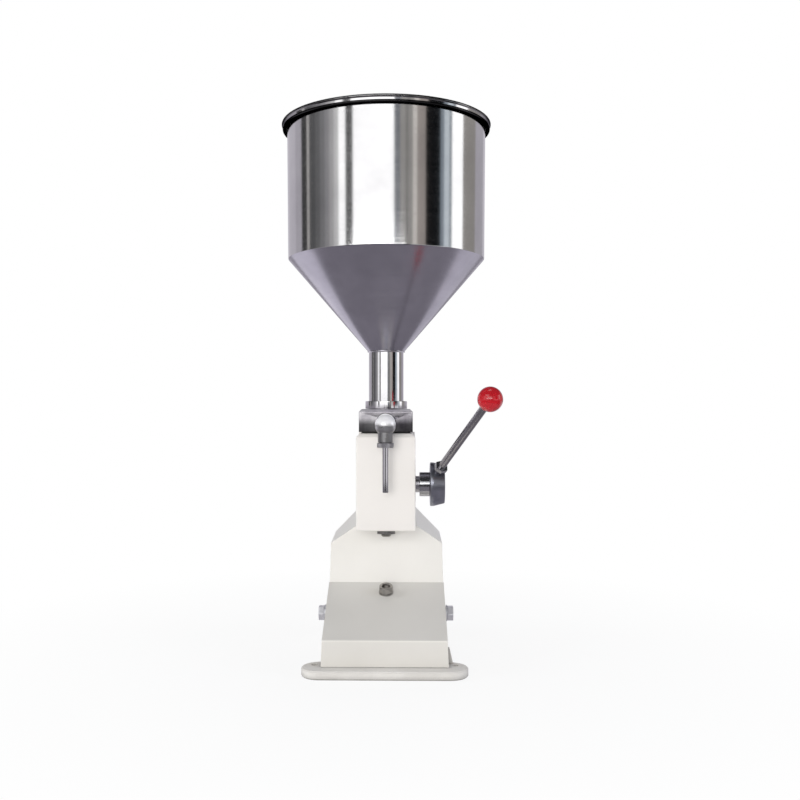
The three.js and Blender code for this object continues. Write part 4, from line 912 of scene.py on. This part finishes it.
def makeArm():
    rodEnd = lever["ballAt"] - lever["rodInBall"]
    turnPiece("leverRod", "rodSteel", "lever", "lever_rod",
              ringProfile(0, lever["rod"], lever["rodFoot"], rodEnd, lever["rodRound"]),
              lever["rodSteps"], armPlace)
    bm = bmesh.new()
    nutSeat = (lever["hub"] + lever["nut"] / 2) / math.cos(math.radians(lever["splay"])) - lever["nut"] / 4
    hexPrism(bm, lever["nut"], lever["nutHigh"], armPlace @ upright(0, 0, nutSeat), lever["nutRound"])
    addPiece("rodJamNut", bm, "shineSteel", "lever", "rod_jam_nut")
    bm = bmesh.new()
    ball = arc(0, 0, lever["ball"], 90, lever["ballCut"], lever["ballRings"])
    ball[0] = (0, lever["ball"])
    out, foot = ball[-1]
    hole, end = lever["ballHole"], foot - lever["footHigh"]
    ball += [(out, foot - lever["footSide"]), (out - lever["footEase"], end), (hole, end),
             (hole, lever["holeTop"]), (0, lever["holeTop"])]
    spinProfile(bm, ball, lever["ballSteps"], armPlace @ upright(0, 0, lever["ballAt"]), loop=False)
    addPiece("leverBall", bm, "redPlastic", "lever", "lever_ball")


def makeBush():
    left, right = low("bush_right").x, high("bush_right").x
    turnPiece("bushRight", "nutSteel", "frame", "bush_right",
              ringProfile(lever["bore"], lever["bush"], left, right, lever["bushRound"]),
              lever["sleeveSteps"], shaftPlace)


makeShaft()
makeArm()
makeBush()
print("lever made")


# Fasteners: a shank has an eased end, and reaches a little into its head
fastener = {"washerRound": 0.4, "washerSteps": 64, "shankEase": 0.5, "shankInto": 0.1, "shankSteps": 32}


def turnWasher(name, look, node, inner, outer, thick, place):
    profile = ringProfile(inner, outer, 0, thick, fastener["washerRound"])
    turnPiece(name, look, "frame", node, profile, fastener["washerSteps"], place)


def shankBelow(bm, radius, length, place):
    ease, into = fastener["shankEase"], fastener["shankInto"]
    shank = [(0, -length), (radius - ease, -length), (radius, -length + ease), (radius, into), (0, into)]
    spinProfile(bm, shank, fastener["shankSteps"], place, loop=False)


# down is how far the front bolt stands below the fold, along the slope
frontBolt = {"down": 26, "slope": 21.96, "foldY": 12, "foldHigh": 94, "washerInner": 6, "washerOuter": 9.7,
             "washerThick": 1.8, "washerSeat": 0.3, "seat": 2.4, "shank": 5.7, "shankLong": 18, "steps": 72,
             "head": [(0, 0), (8.8, 0), (9, 0.2), (9, 7.5), (8.5, 8), (5.8, 8), (5.3, 7.5), (5.2, 4), (0, 4)]}


def makeFrontBolt():
    slope = math.radians(frontBolt["slope"])
    y = frontBolt["foldY"] - frontBolt["down"] * math.cos(slope)
    z = frontBolt["foldHigh"] - frontBolt["down"] * math.sin(slope)
    onSlope = upright(0, y, z) @ Matrix.Rotation(slope, 4, "X")
    turnWasher("frontWasher", "boltSteel", "front_washer", frontBolt["washerInner"], frontBolt["washerOuter"],
               frontBolt["washerThick"], onSlope @ upright(0, 0, frontBolt["washerSeat"]))
    bm = bmesh.new()
    seat = onSlope @ upright(0, 0, frontBolt["seat"])
    spinProfile(bm, frontBolt["head"], frontBolt["steps"], seat, loop=False)
    shankBelow(bm, frontBolt["shank"], frontBolt["shankLong"], seat)
    addPiece("frontBolt", bm, "boltSteel", "frame", "front_bolt")


sideBolt = {"x": 79.5, "y": -20, "z": 59, "washerInner": 6, "washerOuter": 10.6, "washerThick": 1.8,
            "seat": 2.1, "across": 18, "high": 7.5, "shank": 5.7, "shankLong": 16}


def makeSideBolt(side, word):
    outwards = sideways if side > 0 else leftwards
    wallPlace = upright(side * sideBolt["x"], sideBolt["y"], sideBolt["z"]) @ outwards
    turnWasher("sideWasher_" + word, "zincSteel", "side_washer_" + word, sideBolt["washerInner"],
               sideBolt["washerOuter"], sideBolt["washerThick"], wallPlace)
    bm = bmesh.new()
    seat = wallPlace @ upright(0, 0, sideBolt["seat"])
    hexPrism(bm, sideBolt["across"], sideBolt["high"], seat)
    shankBelow(bm, sideBolt["shank"], sideBolt["shankLong"], seat)
    addPiece("sideBolt_" + word, bm, "zincSteel", "frame", "side_bolt_" + word)


def onRear(node, head):
    # a seat facing backwards in the middle of a node, its head's height short of the node's end
    lo, hi = low(node), high(node)
    return upright((lo.x + hi.x) / 2, hi.y - head, (lo.z + hi.z) / 2) @ backwards


headBolt = {"across": 13, "high": 5.4, "head": 5.5, "shank": 3.9}


def makeHeadBolt(word, row):
    node = "head_bolt_%s_%d" % (word, row)
    seat = onRear(node, headBolt["head"])
    bm = bmesh.new()
    hexPrism(bm, headBolt["across"], headBolt["high"], seat)
    shankBelow(bm, headBolt["shank"], high(node).y - headBolt["head"] - low(node).y, seat)
    addPiece("headBolt_%s_%d" % (word, row), bm, "boltSteel", "frame", node)


coverScrew = {"across": 7, "high": 2.3, "head": 2.4, "chamfer": 0.4, "shank": 1.9, "shankLong": 6}


def makeCoverScrew(word):
    seat = onRear("cover_screw_" + word, coverScrew["head"])
    bm = bmesh.new()
    hexPrism(bm, coverScrew["across"], coverScrew["high"], seat, coverScrew["chamfer"])
    shankBelow(bm, coverScrew["shank"], coverScrew["shankLong"], seat)
    addPiece("coverScrew_" + word, bm, "boltSteel", "frame", "cover_screw_" + word)


strokeScrew = {"tip": 5.6, "root": 6.2, "crest": 7, "pitch": 1.5, "plainFoot": 1, "plainHead": 2, "head": 6,
               "steps": 48}


def makeStrokeScrew():
    bottom, top = low("stroke_screw").z, high("stroke_screw").z
    thread = []
    level = bottom + strokeScrew["plainFoot"]
    while level < top - strokeScrew["plainHead"]:
        thread += [(strokeScrew["root"], level), (strokeScrew["crest"], level + strokeScrew["pitch"] / 2)]
        level += strokeScrew["pitch"]
    profile = [(0, bottom), (strokeScrew["tip"], bottom)] + thread + [(strokeScrew["head"], top), (0, top)]
    bm = bmesh.new()
    spinProfile(bm, profile, strokeScrew["steps"], loop=False)
    addPiece("strokeScrew", bm, "boltSteel", "stroke_screw", "stroke_screw", angle=25)


makeFrontBolt()
for side, word in [(-1, "left"), (1, "right")]:
    makeSideBolt(side, word)
    makeHeadBolt(word, 1)
    makeHeadBolt(word, 2)
    makeCoverScrew(word)
makeStrokeScrew()
print("fasteners made")

# Solids that are shown as they are
carried = {
    "boltSteel": ["stroke_lock_nut",
                  "foot_bolt_left_1", "foot_bolt_left_2", "foot_bolt_right_1", "foot_bolt_right_2",
                  "block_bolt_1", "block_bolt_2", "block_bolt_3", "block_bolt_4"],
    "darkSteel": ["rack", "pinion", "shaft_key"],
    "mirrorSteel": ["piston", "piston_rod", "cylinder_barrel", "inlet_seat", "inlet_ball", "outlet_ball"],
    "blackRubber": ["block_gasket", "barrel_seal", "piston_seal_lower", "piston_seal_upper", "outlet_seal"],
    "turnedBrass": ["bush_left", "rack_guide"],
}
for look, nodes in carried.items():
    for node in nodes:
        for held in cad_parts[node].material_slots:
            held.material = finish[look]
print("solids finished")
